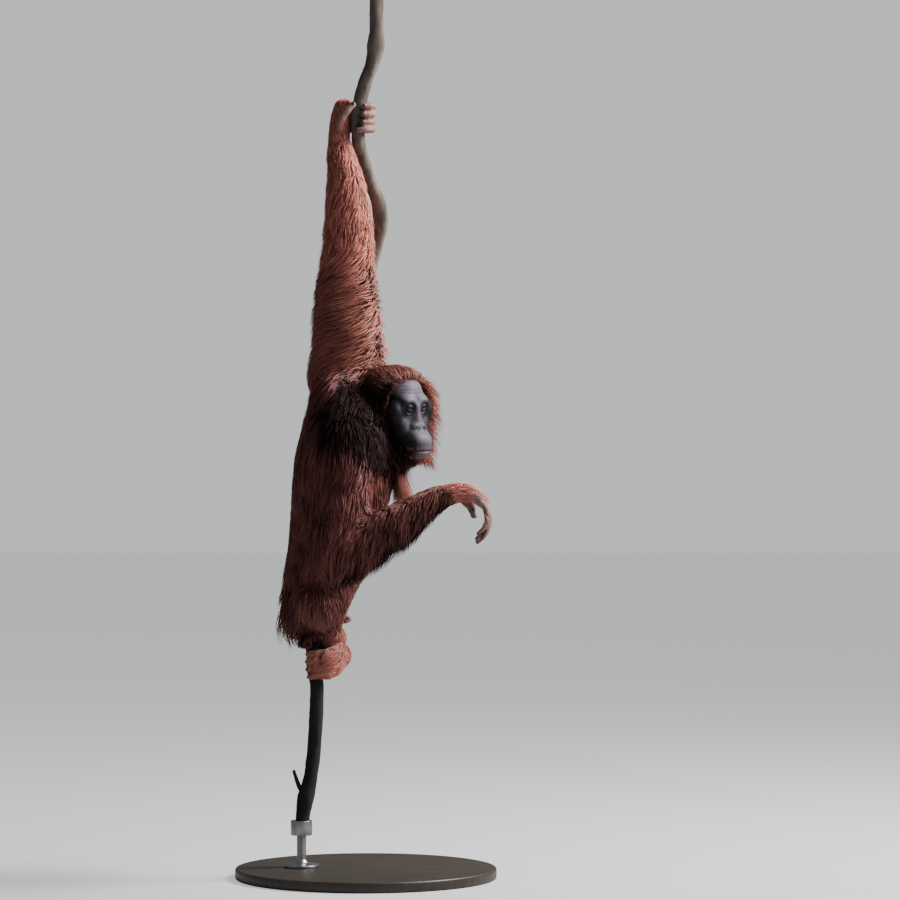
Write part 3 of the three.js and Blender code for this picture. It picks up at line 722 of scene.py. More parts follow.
def lids(q, face):
    across, up, _ = off_eye(q)
    rim = np.hypot(np.hypot(across, up * 1.08) - 18.5, q[:, 0] - 69.5 + 0.12 * across) - 4.4
    face = melt(face, rim, 10)
    return melt(face, np.linalg.norm(q - EYE, axis=1) - EYE_RADIUS - LID_THICKNESS, 4)


def lid_folds(q):
    across, up, opening = off_eye(q)
    round_eye = np.hypot(across, up)
    lower, upper = rise(-up, 0, 6), rise(up, 0, 5)
    below = 1.0 * ridge(round_eye, 14.6, 1.1) + 1.2 * ridge(round_eye, 20.5, 1.6)
    edge = 0.5 * ridge(opening, 1.12, 0.12)
    return rise(q[:, 0], 60, 68) * (lower * below + upper * 1.3 * ridge(round_eye, 13.6, 1.2) - edge)


def lip_height(q):
    return -103 - 3.5 * (q[:, 1] / 36) ** 2


def mouth(q, face):
    off = q[:, 2] - lip_height(q)
    front = rise(q[:, 0], 66, 84) * rise(46 - q[:, 1], 0, 10)
    face = face - front * (1.6 * ridge(off, 6, 4.5) + 2.6 * ridge(off, -6.5, 4.5))
    creases = 0.35 * np.abs(np.sin(q[:, 1] * 0.62 + 0.5 * np.sin(q[:, 2] * 0.4)))
    face = face + front * creases * (ridge(off, 13, 12) + ridge(off, -8, 7))
    return face + front * 4.2 * ridge(off, 0, 1.7)


def ear(q, face):
    face = melt(face, bar(q, (-2, 56, -14), (1, 80, -16), 9), 10)
    side = q - EAR
    around = np.hypot(side[:, 0] / 0.72, side[:, 2]) - 15.5
    rim = np.hypot(around, side[:, 1] - 0.25 * side[:, 0]) - 3.2
    face = melt(face, egg(q, EAR - (0, 5, 0), (13, 6, 18)), 6)
    face = melt(face, rim, 4)
    return bite(face, egg(q, EAR + (2, 6, 0), (7, 8, 11)), 4)


def plain_face(points):
    q = both_sides(np.asarray(points, float))
    face = np.full(len(q), 1e3)
    for centre, radii, width in HEAD_EGGS:
        face = melt(face, egg(q, centre, radii), width)
    face = bite(face, egg(q, (80, 24.5, -3), (13, 15, 11)), 9)
    face = melt(face, bar(q, (73, 0, -4), (89, 0, -42), 9), 18)
    face = melt(face, egg(q, (90, 11, -50), (13, 12.5, 9.5)), 9)
    return lids(q, face)


def face_field(points):
    q = both_sides(np.asarray(points, float))
    face = plain_face(q)
    face = bite(face, egg(q, NOSTRIL, (9, 5.8, 6.6)), 1.8)
    face = mouth(q, face)
    fold = bar(q, (90, 20, -52), (72, 47, -90), 0)
    cheek = bar(q, (72, 30, -22), (58, 52, -44), 0)
    face = face + lid_folds(q) + 1.9 * ridge(fold, 0, 4) + 0.9 * ridge(cheek, 0, 3)
    brow = rise(q[:, 0], 36, 52) * rise(q[:, 2], 18, 26)
    lines = sum(
        ridge(q[:, 2] - 2.2 * np.sin(q[:, 1] / 13 + k), 30 + 8.5 * k, 1.3) for k in range(4))
    face = face + 0.5 * brow * lines
    return ear(q, face)


print("nose is", round(float(face_field(np.array([[110.0, 0, -50]]))[0]), 1), "mm behind x = 110")

# %% [markdown]
# The rough body is a heap of scaled balls along every line, close enough for their skins to
# merge. A voxel remesh wraps the heap in one closed surface without seams. It has to be fine
# for the fingers, so the parts under the coat are then thinned out, and the front of the head
# is divided again before it is drawn on to the field of the face.


# %% Heap of balls
def ball_shape(centre, axes):
    shape = np.eye(4)
    shape[:3, :3] = axes
    shape[:3, 3] = centre
    return shape


def balls_along(line, upright=False):
    tangent, side, across = sections(line, upright)
    run = run_along(line)
    shapes = []
    last = -1.0
    for i in range(len(line)):
        wide, deep = line[i, 3], line[i, 4]
        if run[i] - last < 0.22 * min(wide, deep) and 0 < i < len(line) - 1:
            continue
        last = run[i]
        axes = np.column_stack([side[i] * wide, across[i] * deep, tangent[i] * min(wide, deep)])
        shapes.append(ball_shape(line[i, :3], axes))
    return shapes


def head_ball(centre, radii):
    return ball_shape(from_head(np.array([centre], float))[0], HEAD_AXES * (np.array(radii) * MM))


def mirrored(centre):
    return [centre] if centre[1] == 0 else [centre, (centre[0], -centre[1], centre[2])]


def joined_balls(shapes, detail):
    work = bmesh.new()
    bmesh.ops.create_icosphere(work, subdivisions=detail, radius=1.0)
    ball = np.array([v.co for v in work.verts])
    faces = np.array([[v.index for v in f.verts] for f in work.faces])
    work.free()
    points = np.concatenate([ball @ shape[:3, :3].T + shape[:3, 3] for shape in shapes])
    corners = np.concatenate([faces + k * len(ball) for k in range(len(shapes))])
    mesh = bpy.data.meshes.new("balls")
    mesh.from_pydata(points, [], corners)
    return mesh


FREE_DIGITS = ("finger_right", "thumb_right", "thumb_left")
heap = []
for name in LIMBS:
    heap += balls_along(limb_line(name))
for name, line in DIGITS.items():
    heap += balls_along(line, upright=not name.endswith(FREE_DIGITS))
for place in mirrored(tuple(EAR - (0, 3, 0))):
    heap.append(head_ball(place, (15, 9, 20)))
    heap.append(head_ball((place[0] - 4, place[1] * 0.82, place[2]), (9, 16, 10)))


def set_verts(verts, points):
    for vert, place in zip(verts, points):
        vert.co = place


def add_head(work):
    heart, far = np.array((22.0, 0.0, -24.0)), 200.0
    made = bmesh.ops.create_icosphere(work, subdivisions=7, radius=1.0)["verts"]
    rays = np.array([v.co for v in made])
    inside, outside = np.zeros(len(rays)), np.full(len(rays), far)
    for _ in range(18):
        middle = (inside + outside) / 2
        beyond = plain_face(heart + rays * middle[:, None]) > 0
        outside = np.where(beyond, middle, outside)
        inside = np.where(beyond, inside, middle)
    set_verts(made, from_head(heart + rays * inside[:, None]))


heap_work = bmesh.new()
heap_work.from_mesh(joined_balls(heap, 4))
add_head(heap_work)
heap_mesh = mesh_of(heap_work, "heap")
print("heap of", len(heap), "balls and a head")

# %% [markdown]
# A modifier needs an object, so a mesh is put on a holder, worn through the modifier and taken
# off again. The voxels are 2.8 mm, which is fine enough to keep the fingers apart.


# %% One closed surface
def worn_through(mesh, kind, only=None, **settings):
    holder = bpy.data.objects.new("worn", mesh)
    bpy.context.scene.collection.objects.link(holder)
    modifier = holder.modifiers.new("worn", kind)
    for key, value in settings.items():
        setattr(modifier, key, value)
    if only is not None:
        group = holder.vertex_groups.new(name="chosen")
        group.add(np.flatnonzero(only).tolist(), 1.0, "REPLACE")
        modifier.vertex_group = group.name
    graph = bpy.context.evaluated_depsgraph_get()
    made = bpy.data.meshes.new_from_object(holder.evaluated_get(graph))
    bpy.data.objects.remove(holder)
    return made


SKIN_VOXEL = 2.8 * MM
rough = worn_through(heap_mesh, "REMESH", mode="VOXEL", voxel_size=SKIN_VOXEL)
rough = worn_through(rough, "SMOOTH", factor=0.5, iterations=4)
print("wrapped skin has", len(rough.polygons), "faces")

# %% [markdown]
# The coat hides most of the skin, so only a twentieth of that part's faces are kept. The front
# of the head, the ears, the hands and the feet stay whole.

# %% Thin out under the coat
BARE_LIMBS = ("palm_left", "palm_right", "sole_left", "sole_right")


def distance_to(points, lines):
    nearest = np.full(len(points), 9.0)
    for line in lines:
        for place in line[::2, :3]:
            nearest = np.minimum(nearest, np.linalg.norm(points - place, axis=1))
    return nearest


def bare_distance(points):
    return distance_to(points, [limb_line(name, 4) for name in BARE_LIMBS] + list(DIGITS.values()))


COVERED_SHARE = 0.05
wrapped = points_of(rough)
local = to_head(wrapped)
on_face = (local[:, 0] > 6) & (np.linalg.norm(local - (40, 0, -50), axis=1) < 135)
on_ear = np.linalg.norm(np.abs(local) - np.abs(EAR), axis=1) < 28
keep = on_face | on_ear | (bare_distance(wrapped) < 46 * MM)
kept_share = float(np.mean(keep))
skin_mesh = worn_through(
    rough, "DECIMATE", ~keep, ratio=kept_share + (1 - kept_share) * COVERED_SHARE)
print("kept", round(kept_share, 2), "of the surface whole:", len(skin_mesh.polygons), "faces")

# %% [markdown]
# The wrapped skin now sits within a few millimetres of the field of the face, and each of its
# points steps down the field's slope until it lies on it. The front of the head is divided
# once more, and round the eyes twice, because an eyelid is thinner than the first mesh is
# fine. A light smoothing between two rounds of steps keeps the mesh even.


# %% Draw the skin on to the face
def within(points, centre, radius):
    return np.linalg.norm(points - np.array(centre, float), axis=1) < radius


def divide(work, chosen):
    edges = [e for e in work.edges if chosen[e.verts[0].index] and chosen[e.verts[1].index]]
    bmesh.ops.subdivide_edges(work, edges=edges, cuts=1, use_grid_fill=True)
    work.verts.index_update()
    work.verts.ensure_lookup_table()


def vert_points(work):
    return np.array([v.co for v in work.verts])


def drawn_in(points, rounds):
    q = to_head(points)
    on_ear = 1.0 * within(both_sides(q), EAR, 26)
    weight = np.maximum((1 - rise(plain_face(q), 3, 7)) * rise(q[:, 0], -2, 16), on_ear)
    for _ in range(rounds):
        here = face_field(q)
        slope = np.stack(
            [face_field(q + step) - here for step in np.eye(3) * 0.3], axis=1) / 0.3
        steep = np.maximum(np.sum(slope**2, axis=1), 0.2)
        move = np.clip(here / steep, -3, 3)[:, None] * slope
        q = q - move * weight[:, None]
    return from_head(q)


skin_work = bmesh.new()
skin_work.from_mesh(skin_mesh)
skin_work.verts.ensure_lookup_table()
local = to_head(vert_points(skin_work))
front = (local[:, 0] > 20) & within(local, (60, 0, -50), 104)
divide(skin_work, front)
local = to_head(vert_points(skin_work))
divide(skin_work, within(both_sides(local), EYE + (8, 0, 0), 21))
local = to_head(vert_points(skin_work))
chosen = np.flatnonzero((local[:, 0] > -12) & within(local, (40, 0, -50), 150))
chosen_verts = [skin_work.verts[i] for i in chosen.tolist()]
for rounds, ease in ((3, 0.35), (3, 0.2), (3, 0.0)):
    places = vert_points(skin_work)
    places[chosen] = drawn_in(places[chosen], rounds)
    set_verts(skin_work.verts, places)
    if ease:
        bmesh.ops.smooth_vert(
            skin_work, verts=chosen_verts, factor=ease,
            use_axis_x=True, use_axis_y=True, use_axis_z=True)
print("skin has", len(skin_work.faces), "faces,", len(chosen), "points on the face")

# %% [markdown]
# The eyelids need a clean edge. Inside the almond of each eye the skin is taken out, the edge
# is pulled on to the outline, drawn back to behind the front of the eyeball and closed there,
# so that the skin stays one closed surface with a pocket that the eyeball fills.


# %% Open the eyelids
POCKET_BACK = 70.5


def open_lids(work, side):
    q = to_head(vert_points(work)) * (1, side, 1)
    across, up, opening = off_eye(q)
    gone = (opening < 1) & (q[:, 0] > EYE[0]) & (np.hypot(across, up) < 16)
    whole = {e for e in work.edges if e.is_boundary}
    bmesh.ops.delete(work, geom=[work.verts[i] for i in np.flatnonzero(gone)], context="VERTS")
    work.verts.index_update()
    work.verts.ensure_lookup_table()
    rim = [e for e in work.edges if e.is_boundary and e not in whole]
    verts = list({v for e in rim for v in e.verts})
    q = to_head(np.array([v.co for v in verts])) * (1, side, 1)
    across, up, opening = off_eye(q)
    up = (up - 0.10 * across + 0.3) / opening + 0.10 * across / opening - 0.3
    across = across / opening
    reach = np.sqrt(np.maximum((EYE_RADIUS + LID_THICKNESS) ** 2 - across**2 - up**2, 1))
    edge = np.stack([EYE[0] + reach, (EYE[1] + across) * side, EYE[2] + up], axis=1)
    set_verts(verts, from_head(edge))
    drawn = bmesh.ops.extrude_edge_only(work, edges=rim)["geom"]
    back = [g for g in drawn if isinstance(g, bmesh.types.BMVert)]
    q = to_head(np.array([v.co for v in back]))
    q[:, 0] = POCKET_BACK
    set_verts(back, from_head(q))
    bmesh.ops.edgeloop_fill(work, edges=[g for g in drawn if isinstance(g, bmesh.types.BMEdge)])
    bmesh.ops.recalc_face_normals(work, faces=work.faces)
    work.verts.ensure_lookup_table()
    return len(rim)


edge_counts = [open_lids(skin_work, side) for side in (1, -1)]
skin_mesh = mesh_of(skin_work, "skin")
print("lids have", edge_counts, "edges; skin has", len(skin_mesh.polygons), "faces")

# %% [markdown]
# Bare ape skin is a net of fine creases with softer blotches under it. The net is made once as a group:
# the borders between Voronoi cells give the creases and noise gives the blotches, and the colour is
# darkened along the creases as painted shade. The skin's one material is dark grey on the face, pinkish
# brown on the hands and feet, and dark under the coat, by marks that are painted on the points of the
# mesh. The sockets of the eyes, the nostrils, the slit of the mouth and both sides of the face are
# painted near black, as painted shade.


# %% Creased skin
def crease_group():
    group, nodes, links, start, end = shader_group(
        "creases", {"Scale": "Float"}, {"Crease": "Float", "Blotch": "Float", "Height": "Float"})
    place = nodes.new("ShaderNodeTexCoord")
    bent = added(nodes, "ShaderNodeTexNoise", {"Scale": 90})
    shifted = nodes.new("ShaderNodeMix")
    shifted.data_type = "VECTOR"
    shifted.inputs["Factor"].default_value = 0.006
    cells = nodes.new("ShaderNodeTexVoronoi")
    cells.feature = "DISTANCE_TO_EDGE"
    edge = added(nodes, "ShaderNodeMapRange", {"From Max": 0.12})
    blotch = added(nodes, "ShaderNodeTexNoise", {"Scale": 34, "Detail": 4})
    fine = added(nodes, "ShaderNodeTexNoise", {"Scale": 420, "Detail": 3})
    total = nodes.new("ShaderNodeMath")
    total.operation = "MULTIPLY_ADD"
    total.inputs[1].default_value = 0.5
    links.new(place.outputs["Object"], bent.inputs["Vector"])
    links.new(place.outputs["Object"], shifted.inputs["A"])
    links.new(bent.outputs["Color"], shifted.inputs["B"])
    links.new(shifted.outputs["Result"], cells.inputs["Vector"])
    links.new(start.outputs["Scale"], cells.inputs["Scale"])
    links.new(cells.outputs["Distance"], edge.inputs["Value"])
    links.new(place.outputs["Object"], blotch.inputs["Vector"])
    links.new(place.outputs["Object"], fine.inputs["Vector"])
    links.new(fine.outputs["Fac"], total.inputs[0])
    links.new(edge.outputs["Result"], total.inputs[2])
    links.new(edge.outputs["Result"], end.inputs["Crease"])
    links.new(blotch.outputs["Fac"], end.inputs["Blotch"])
    links.new(total.outputs["Value"], end.inputs["Height"])
    return group


CREASES = crease_group()


FACE_DARK, FACE_LIGHT = (0.035, 0.031, 0.040), (0.16, 0.142, 0.178)
PALM_DARK, PALM_LIGHT = (0.13, 0.070, 0.058), (0.46, 0.28, 0.235)
UNDER_DARK, UNDER_LIGHT = (0.05, 0.022, 0.016), (0.085, 0.04, 0.028)
LIPS, NEAR_BLACK_SHADE = (0.085, 0.060, 0.062), (0.004, 0.003, 0.003)
CREASES_TO_THE_METRE = 640


def skin_material():
    material, nodes, links, surface = new_material("bare and covered skin", {
        "Roughness": 0.5, "Specular IOR Level": 0.22, "Specular Tint": (0.88, 0.84, 1.0, 1)})
    net = nodes.new("ShaderNodeGroup")
    net.node_tree = CREASES
    net.inputs["Scale"].default_value = CREASES_TO_THE_METRE
    blotch, crease = net.outputs["Blotch"], net.outputs["Crease"]
    face = colour_mix(nodes, links, blotch, FACE_DARK, FACE_LIGHT)
    lips = colour_mix(nodes, links, painted(nodes, "lips"), face, LIPS)
    palm = colour_mix(nodes, links, blotch, PALM_DARK, PALM_LIGHT)
    under = colour_mix(nodes, links, blotch, UNDER_DARK, UNDER_LIGHT)
    bare = colour_mix(nodes, links, painted(nodes, "hand_or_foot"), under, palm)
    whole = colour_mix(nodes, links, painted(nodes, "face"), bare, lips)
    # Painted shade: the skin colour is darkened along the creases.
    deep = colour_mix(nodes, links, crease, (0.45, 0.42, 0.42), (1.0, 1.0, 1.0))
    # Painted shade: near black in the eye sockets, the nostrils, the slit of the mouth and on both
    # sides of the face.
    whole = colour_mix(nodes, links, painted(nodes, "painted_shade"), whole, NEAR_BLACK_SHADE)
    links.new(multiplied(nodes, links, whole, deep, 0.4), surface.inputs["Base Color"])
    relief(nodes, links, net.outputs["Height"], surface, 0.3, 0.25 * MM)
    return material


skin_points = points_of(skin_mesh)
local = to_head(skin_points)
skin_bare = bare_distance(skin_points)
face_mark = rise(local[:, 0], -8, 24) * (1 - rise(plain_face(local), 3, 9))
near_ear = within(both_sides(local), EAR, 30)
face_mark = np.maximum(face_mark, near_ear)
off_lips = local[:, 2] - lip_height(local)
lip_mark = ridge(off_lips + 5, 0, 4.5) * rise(local[:, 0], 84, 100) * 0.55
# Painted shade: the eye sockets and both sides of the face, and the nostrils and the slit of the mouth,
# are mixed towards near black.
lid_ring = np.hypot(np.abs(local[:, 1]) - EYE[1], local[:, 2] - EYE[2])
socket = 0.8 * rise(local[:, 0], 40, 55) * (1 - rise(lid_ring, 12, 25))
upper = rise(local[:, 2], 0, 30)
face_side_shade = 0.96 * rise(np.abs(local[:, 1]) - 26 * upper, 14, 36)
in_nostril = np.linalg.norm((both_sides(local) - NOSTRIL) / (13, 6.2, 7), axis=1)
between_lips = ridge(off_lips, 0, 1.8) * rise(local[:, 0], 70, 90)
painted_shade = np.maximum(1 - rise(in_nostril, 0.9, 1.25), 0.8 * between_lips)
mark(skin_mesh, "painted_shade", np.maximum(painted_shade, np.maximum(socket, face_side_shade) * face_mark))
mark(skin_mesh, "face", face_mark)
mark(skin_mesh, "lips", lip_mark)
mark(skin_mesh, "hand_or_foot", 1 - rise(skin_bare / MM, 34, 62))
FLESH_NODES = [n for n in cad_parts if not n.startswith(("stand_", "perch_", "eye_"))]
new_piece("skin", skin_mesh, skin_material(), "skin", *FLESH_NODES)
print("skin replaces", len(FLESH_NODES), "solids")

# %% [markdown]
# Each eyeball is a sphere with a pole along the gaze, so that rings of faces can be pupil, iris
# and white, which in this animal is brown. The cornea bulges a little over the iris. A clear
# coat gives the wet point of light that makes an eye look alive.


# %% Eyes
def wet(name, colour):
    return new_material(name, {
        "Base Color": (*colour, 1), "Roughness": 0.3, "Specular IOR Level": 0.3,
        "Coat Weight": 0.3, "Coat Roughness": 0.05})[0]


EYE_FINISHES = [
    wet("pupil", (0.003, 0.002, 0.002)), wet("brown iris", (0.026, 0.010, 0.006)),
    wet("brown white of the eye", (0.013, 0.009, 0.008))]
PUPIL_ANGLE, IRIS_ANGLE = math.radians(13), math.radians(31)


def eyeball(name, node, side):
    centre = Vector(from_head(np.array([EYE * (1, side, 1)]))[0])
    forward = head_turn @ Vector((1, 0, 0))
    gaze = (forward + 0.3 * (camera.location - centre).normalized()).normalized()
    work = bmesh.new()
    turn = gaze.to_track_quat("Z", "Y").to_matrix().to_4x4()
    bmesh.ops.create_uvsphere(work, u_segments=40, v_segments=56, radius=EYE_RADIUS * MM)
    for face in work.faces:
        angle = face.calc_center_median().angle(Vector((0, 0, 1)))
        face.material_index = 0 if angle < PUPIL_ANGLE else 1 if angle < IRIS_ANGLE else 2
    for vert in work.verts:
        angle = vert.co.angle(Vector((0, 0, 1)))
        vert.co *= 1 + 0.05 * math.exp(-((angle / (0.8 * IRIS_ANGLE)) ** 2))
    bmesh.ops.transform(work, matrix=Matrix.Translation(centre) @ turn, verts=work.verts)
    mesh = mesh_of(work, name)
    for finish in EYE_FINISHES:
        mesh.materials.append(finish)
    return new_piece(name, mesh, None, "eye", node)


eyeball("eyeball_left", "eye_left", 1)
eyeball("eyeball_right", "eye_right", -1)
print("eyes", round(2 * EYE_RADIUS), "mm across and", round(2 * EYE[1]), "mm apart")

# %% [markdown]
# Nails are small dark plates, bent over the back of each tip. A flattened ball sunk in the
# flesh gives the curved plate. The back of a digit is the outside of its bend, which the line
# itself tells: it is where the tip lies from the middle of the line.


# %% Nails
def nail(work, line):
    tip = line[-1, :3]
    along = unit(line[-1, :3] - line[-4, :3])
    back = tip - line[len(line) // 3:, :3].mean(axis=0)
    back = unit(back - along * (back @ along))
    thick = line[-1, 3]
    shape = np.eye(4)
    shape[:3, 0] = along * thick * 0.82
    shape[:3, 1] = np.cross(along, back) * thick * 0.72
    shape[:3, 2] = back * thick * 0.42
    shape[:3, 3] = tip + along * thick * 0.12 + back * thick * 0.62
    bmesh.ops.create_uvsphere(
        work, u_segments=20, v_segments=12, radius=1.0, matrix=Matrix(shape.tolist()))


nails = bmesh.new()
for line in DIGITS.values():
    nail(nails, line)
bmesh.ops.recalc_face_normals(nails, faces=nails.faces)
horn = drifting("dark nail", (0.018, 0.012, 0.010), (0.07, 0.045, 0.035), 0.38, 120, (1, 1, 1), 0.1)
new_piece("nails", mesh_of(nails, "nails"), horn, "nail")
print("nails on", len(DIGITS), "digits")

# %% [markdown]
# The coat fills the room between the skin and the solids. The solids are joined and wrapped in
# one closed envelope, and from every point of the skin a ray along its normal measures how
# deep the coat may be there. Where there is no room, on the face, palms and soles, no lock
# grows. The solids are let out a little first, so that the thin cuts between them close.

# %% Room for the coat
ENVELOPE_VOXEL = 6 * MM
LET_OUT = 1.6 * MM
envelope_work = bmesh.new()
for name in FLESH_NODES:
    envelope_work.from_mesh(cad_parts[name].data)
bmesh.ops.remove_doubles(envelope_work, verts=envelope_work.verts, dist=1e-5)
envelope_work.normal_update()
for vert in envelope_work.verts:
    vert.co += vert.normal * LET_OUT
envelope_mesh = worn_through(
    mesh_of(envelope_work, "envelope"), "REMESH", mode="VOXEL", voxel_size=ENVELOPE_VOXEL)


def tree_round(mesh):
    return BVHTree.FromPolygons([v.co for v in mesh.vertices], [p.vertices for p in mesh.polygons])


envelope, skin_tree = tree_round(envelope_mesh), tree_round(skin_mesh)
skin_normals = np.array([v.normal for v in skin_mesh.vertices])
DEEPEST = 90 * MM
LEAST_ROOM = 7 * MM


def room_over(place, normal):
    near, face_normal, _, gap = envelope.find_nearest(place)
    if (place - near).dot(face_normal) > 0:
        return 0.0
    gap = max(gap - LET_OUT, 0)
    hit = envelope.ray_cast(place, normal, DEEPEST)
    straight = hit[3] if hit[0] is not None else DEEPEST
    return min(straight, 1.5 * gap + 4 * MM)


def inside_hairline(q):
    below_hair = 0.8 * q[:, 0] - 0.6 * q[:, 2] + 4
    before_cheek = 0.96 * q[:, 0] + 0.2 * q[:, 2] - 25
    beard = egg(q, (84, 0, -132), (32, 42, 32)) - 4
    return np.minimum(np.minimum(below_hair, before_cheek), beard)


def bare_face(points):
    q = to_head(points)
    return (inside_hairline(q) > 0) & (plain_face(q) < 7)


skin_room = np.array([room_over(v.co, v.normal) for v in skin_mesh.vertices])
covered = (skin_bare > 40 * MM) & ~near_ear
skin_room = np.where(covered, np.maximum(skin_room, LEAST_ROOM), skin_room)
skin_room[bare_face(skin_points)] = 0
skin_mesh.calc_loop_triangles()
triangles = np.array([t.vertices for t in skin_mesh.loop_triangles])
print("coat is up to", round(float(skin_room.max() / MM)), "mm deep")

# %% [markdown]
# Hair has a lie, a direction that it grows in, and it hangs from there. On an ape's arm it
# runs towards the elbow from both ends. On this raised arm the forearm hair simply falls, and
# the upper arm's hair sweeps round from front to back in garlands. The back hangs straight,
# and the hair of the head is combed back from the face. Each limb has a row: how much of the
# lie runs along the limb, a direction of its own, and the length and width of its locks.

# %% Lie of the hair
LIES = {
    "trunk": (0.0, (-0.14, 0.0, -1.0), 125, 4.0),
    "neck": (0.0, (-0.35, 0.0, -1.0), 90, 3.4),
    "throat": (0.0, (0.15, 0.0, -1.0), 85, 2.8),
    "upper_arm_left": (0.0, (-0.9, 0.0, -0.5), 105, 3.4),
    "forearm_left": (-1.0, (-0.25, 0.0, 0.0), 85, 2.9),
    "upper_arm_right": (1.0, (-0.15, 0.0, -0.2), 115, 3.6),
    "forearm_right": (-0.45, (0.0, 0.0, -0.9), 95, 3.0),
    "thigh_right": (0.4, (-0.1, 0.0, -0.8), 85, 3.4),
    "shin_right": (0.8, (0.0, 0.0, -0.4), 62, 2.8),
    "thigh_left": (0.4, (-0.1, 0.0, -0.8), 85, 3.4),
    "shin_left": (0.8, (0.0, 0.0, -0.4), 62, 2.8),
    "head": (0.0, (0.0, 0.0, -0.35), 56, 2.0),
}
FACE_MIDDLE = from_head(np.array([[92.0, 0.0, -22.0]]))[0]
HEAD_SAMPLES = np.array([
    (-6, 0, 12, 68), (24, 0, -60, 62), (60, 0, -100, 46), (84, 0, -118, 32)], float)


def region_samples(name):
    if name == "head":
        return from_head(HEAD_SAMPLES[:, :3]), HEAD_SAMPLES[:, 3] * MM, np.zeros((4, 3))
    line = limb_line(name, 3)
    tangent = sections(line)[0]
    return line[:, :3], line[:, 3:5].mean(axis=1), tangent


REGIONS = list(LIES)
SAMPLES = {name: region_samples(name) for name in REGIONS}


def lie_at(points):
    flow = np.zeros((len(points), 3))
    total = np.zeros(len(points))
    closest = np.full(len(points), 99.0)
    region = np.zeros(len(points), int)
    for number, name in enumerate(REGIONS):
        along, own = LIES[name][:2]
        centres, sizes, tangents = SAMPLES[name]
        gaps = np.linalg.norm(points[:, None, :] - centres[None], axis=2) / sizes[None]
        nearest = gaps.argmin(axis=1)
        gap = gaps[np.arange(len(points)), nearest]
        vector = along * tangents[nearest] + np.array(own)
        if name == "head":
            vector = vector + unit(points - FACE_MIDDLE)
        weight = np.exp(-7 * gap)
        flow += unit(vector) * weight[:, None]
        total += weight
        region[gap < closest] = number
        closest = np.minimum(closest, gap)
    return flow / total[:, None], region


print("the lie is blended from", len(REGIONS), "regions")

# %% [markdown]
# Roots are scattered over the skin by area, more of them where the locks are short and narrow.
# Both generators get a seed, so that every run makes the same coat. Blender's noise would
# otherwise take its seed from the clock.

# %% Roots
SEED = 11
LOCKS = 57000
chance = np.random.default_rng(SEED)
noise.seed_set(SEED)


def scattered(count, weight):
    corners = skin_points[triangles]
    sides = corners[:, 1:] - corners[:, :1]
    area = np.linalg.norm(np.cross(sides[:, 0], sides[:, 1]), axis=1)
    share = area * weight
    chosen = chance.choice(len(triangles), size=count, p=share / share.sum())
    a, b = chance.random(count), chance.random(count)
    a, b = np.where(a + b > 1, 1 - a, a), np.where(a + b > 1, 1 - b, b)
    spot = np.stack([1 - a - b, a, b], axis=1)
    ends = triangles[chosen]
    roots = np.einsum("nk,nkc->nc", spot, skin_points[ends])
    normals = unit(np.einsum("nk,nkc->nc", spot, skin_normals[ends]))
    return roots, normals, np.einsum("nk,nk->n", spot, skin_room[ends])


middles = skin_points[triangles].mean(axis=1)
middle_region = lie_at(middles)[1]
lock_length = np.array([LIES[name][2] for name in REGIONS], float) * MM
lock_width = np.array([LIES[name][3] for name in REGIONS], float) * MM
need = 1 / (lock_length * lock_width)[middle_region]
need = np.where(skin_room[triangles].mean(axis=1) > 3 * MM, need, 0)
roots, root_normals, root_room = scattered(LOCKS, need)
root_region = lie_at(roots)[1]
print({name: int(np.sum(root_region == k)) for k, name in enumerate(REGIONS)})

# %% [markdown]
# Each lock walks over the skin from its root along the lie, a quarter of its length at a time,
# and rises through the room as it goes. The height of its tip, as a share of the room, is
# drawn at random, so short hair fills the depth and the longest tips draw the outline of the
# solids. Under an arm, where the skin faces down, the lie has nothing to follow along the
# skin and the lock hangs free.

# %% Walk of each lock
STEPS = 4


def skin_below(points):
    found = [skin_tree.find_nearest(p) for p in points.tolist()]
    places = np.array([f[0] for f in found])
    faces = [skin_mesh.polygons[f[2]].vertices for f in found]
    corner = np.array([f[:3] for f in map(tuple, faces)])
    gap = np.linalg.norm(skin_points[corner] - places[:, None, :], axis=2)
    share = 1 / (gap + 1 * MM)
    share /= share.sum(axis=1, keepdims=True)
    normals = unit(np.einsum("nk,nkc->nc", share, skin_normals[corner]))
    return places, normals, np.einsum("nk,nk->n", share, skin_room[corner])


def wander_at(points, size, strength):
    return np.array([noise.noise_vector(Vector(p) / size) for p in points]) * strength


def walk(roots, normals, room, length, tip_share, unruly):
    ground, lift = roots.copy(), np.zeros(len(roots))
    wander = wander_at(roots, 70 * MM, 0.45) + wander_at(roots, 18 * MM, 0.25)
    wander += chance.normal(0, 0.1, (len(roots), 3)) * unruly[:, None]
    places, ups = [roots - normals * 2 * MM], [normals]
    for step in range(1, STEPS + 1):
        share = step / STEPS
        flow = lie_at(ground)[0] + wander
        flow -= normals * np.sum(flow * normals, axis=1, keepdims=True)
        pull = np.clip(np.linalg.norm(flow, axis=1), 0, 1)
        down = np.clip(-normals[:, 2], 0, 1)
        profile = (1 - down) * (1 - (1 - share) ** 2.2) + down * share
        height = tip_share * room * profile
        stride = length / STEPS
        level = np.sqrt(np.maximum(stride**2 - (height - lift) ** 2, (0.25 * stride) ** 2)) * pull
        ground, normals, room = skin_below(ground + unit(flow) * level[:, None])
        lift = tip_share * room * profile
        places.append(ground + normals * lift[:, None])
        ups.append(normals)
    return np.stack(places, axis=1), np.stack(ups, axis=1)


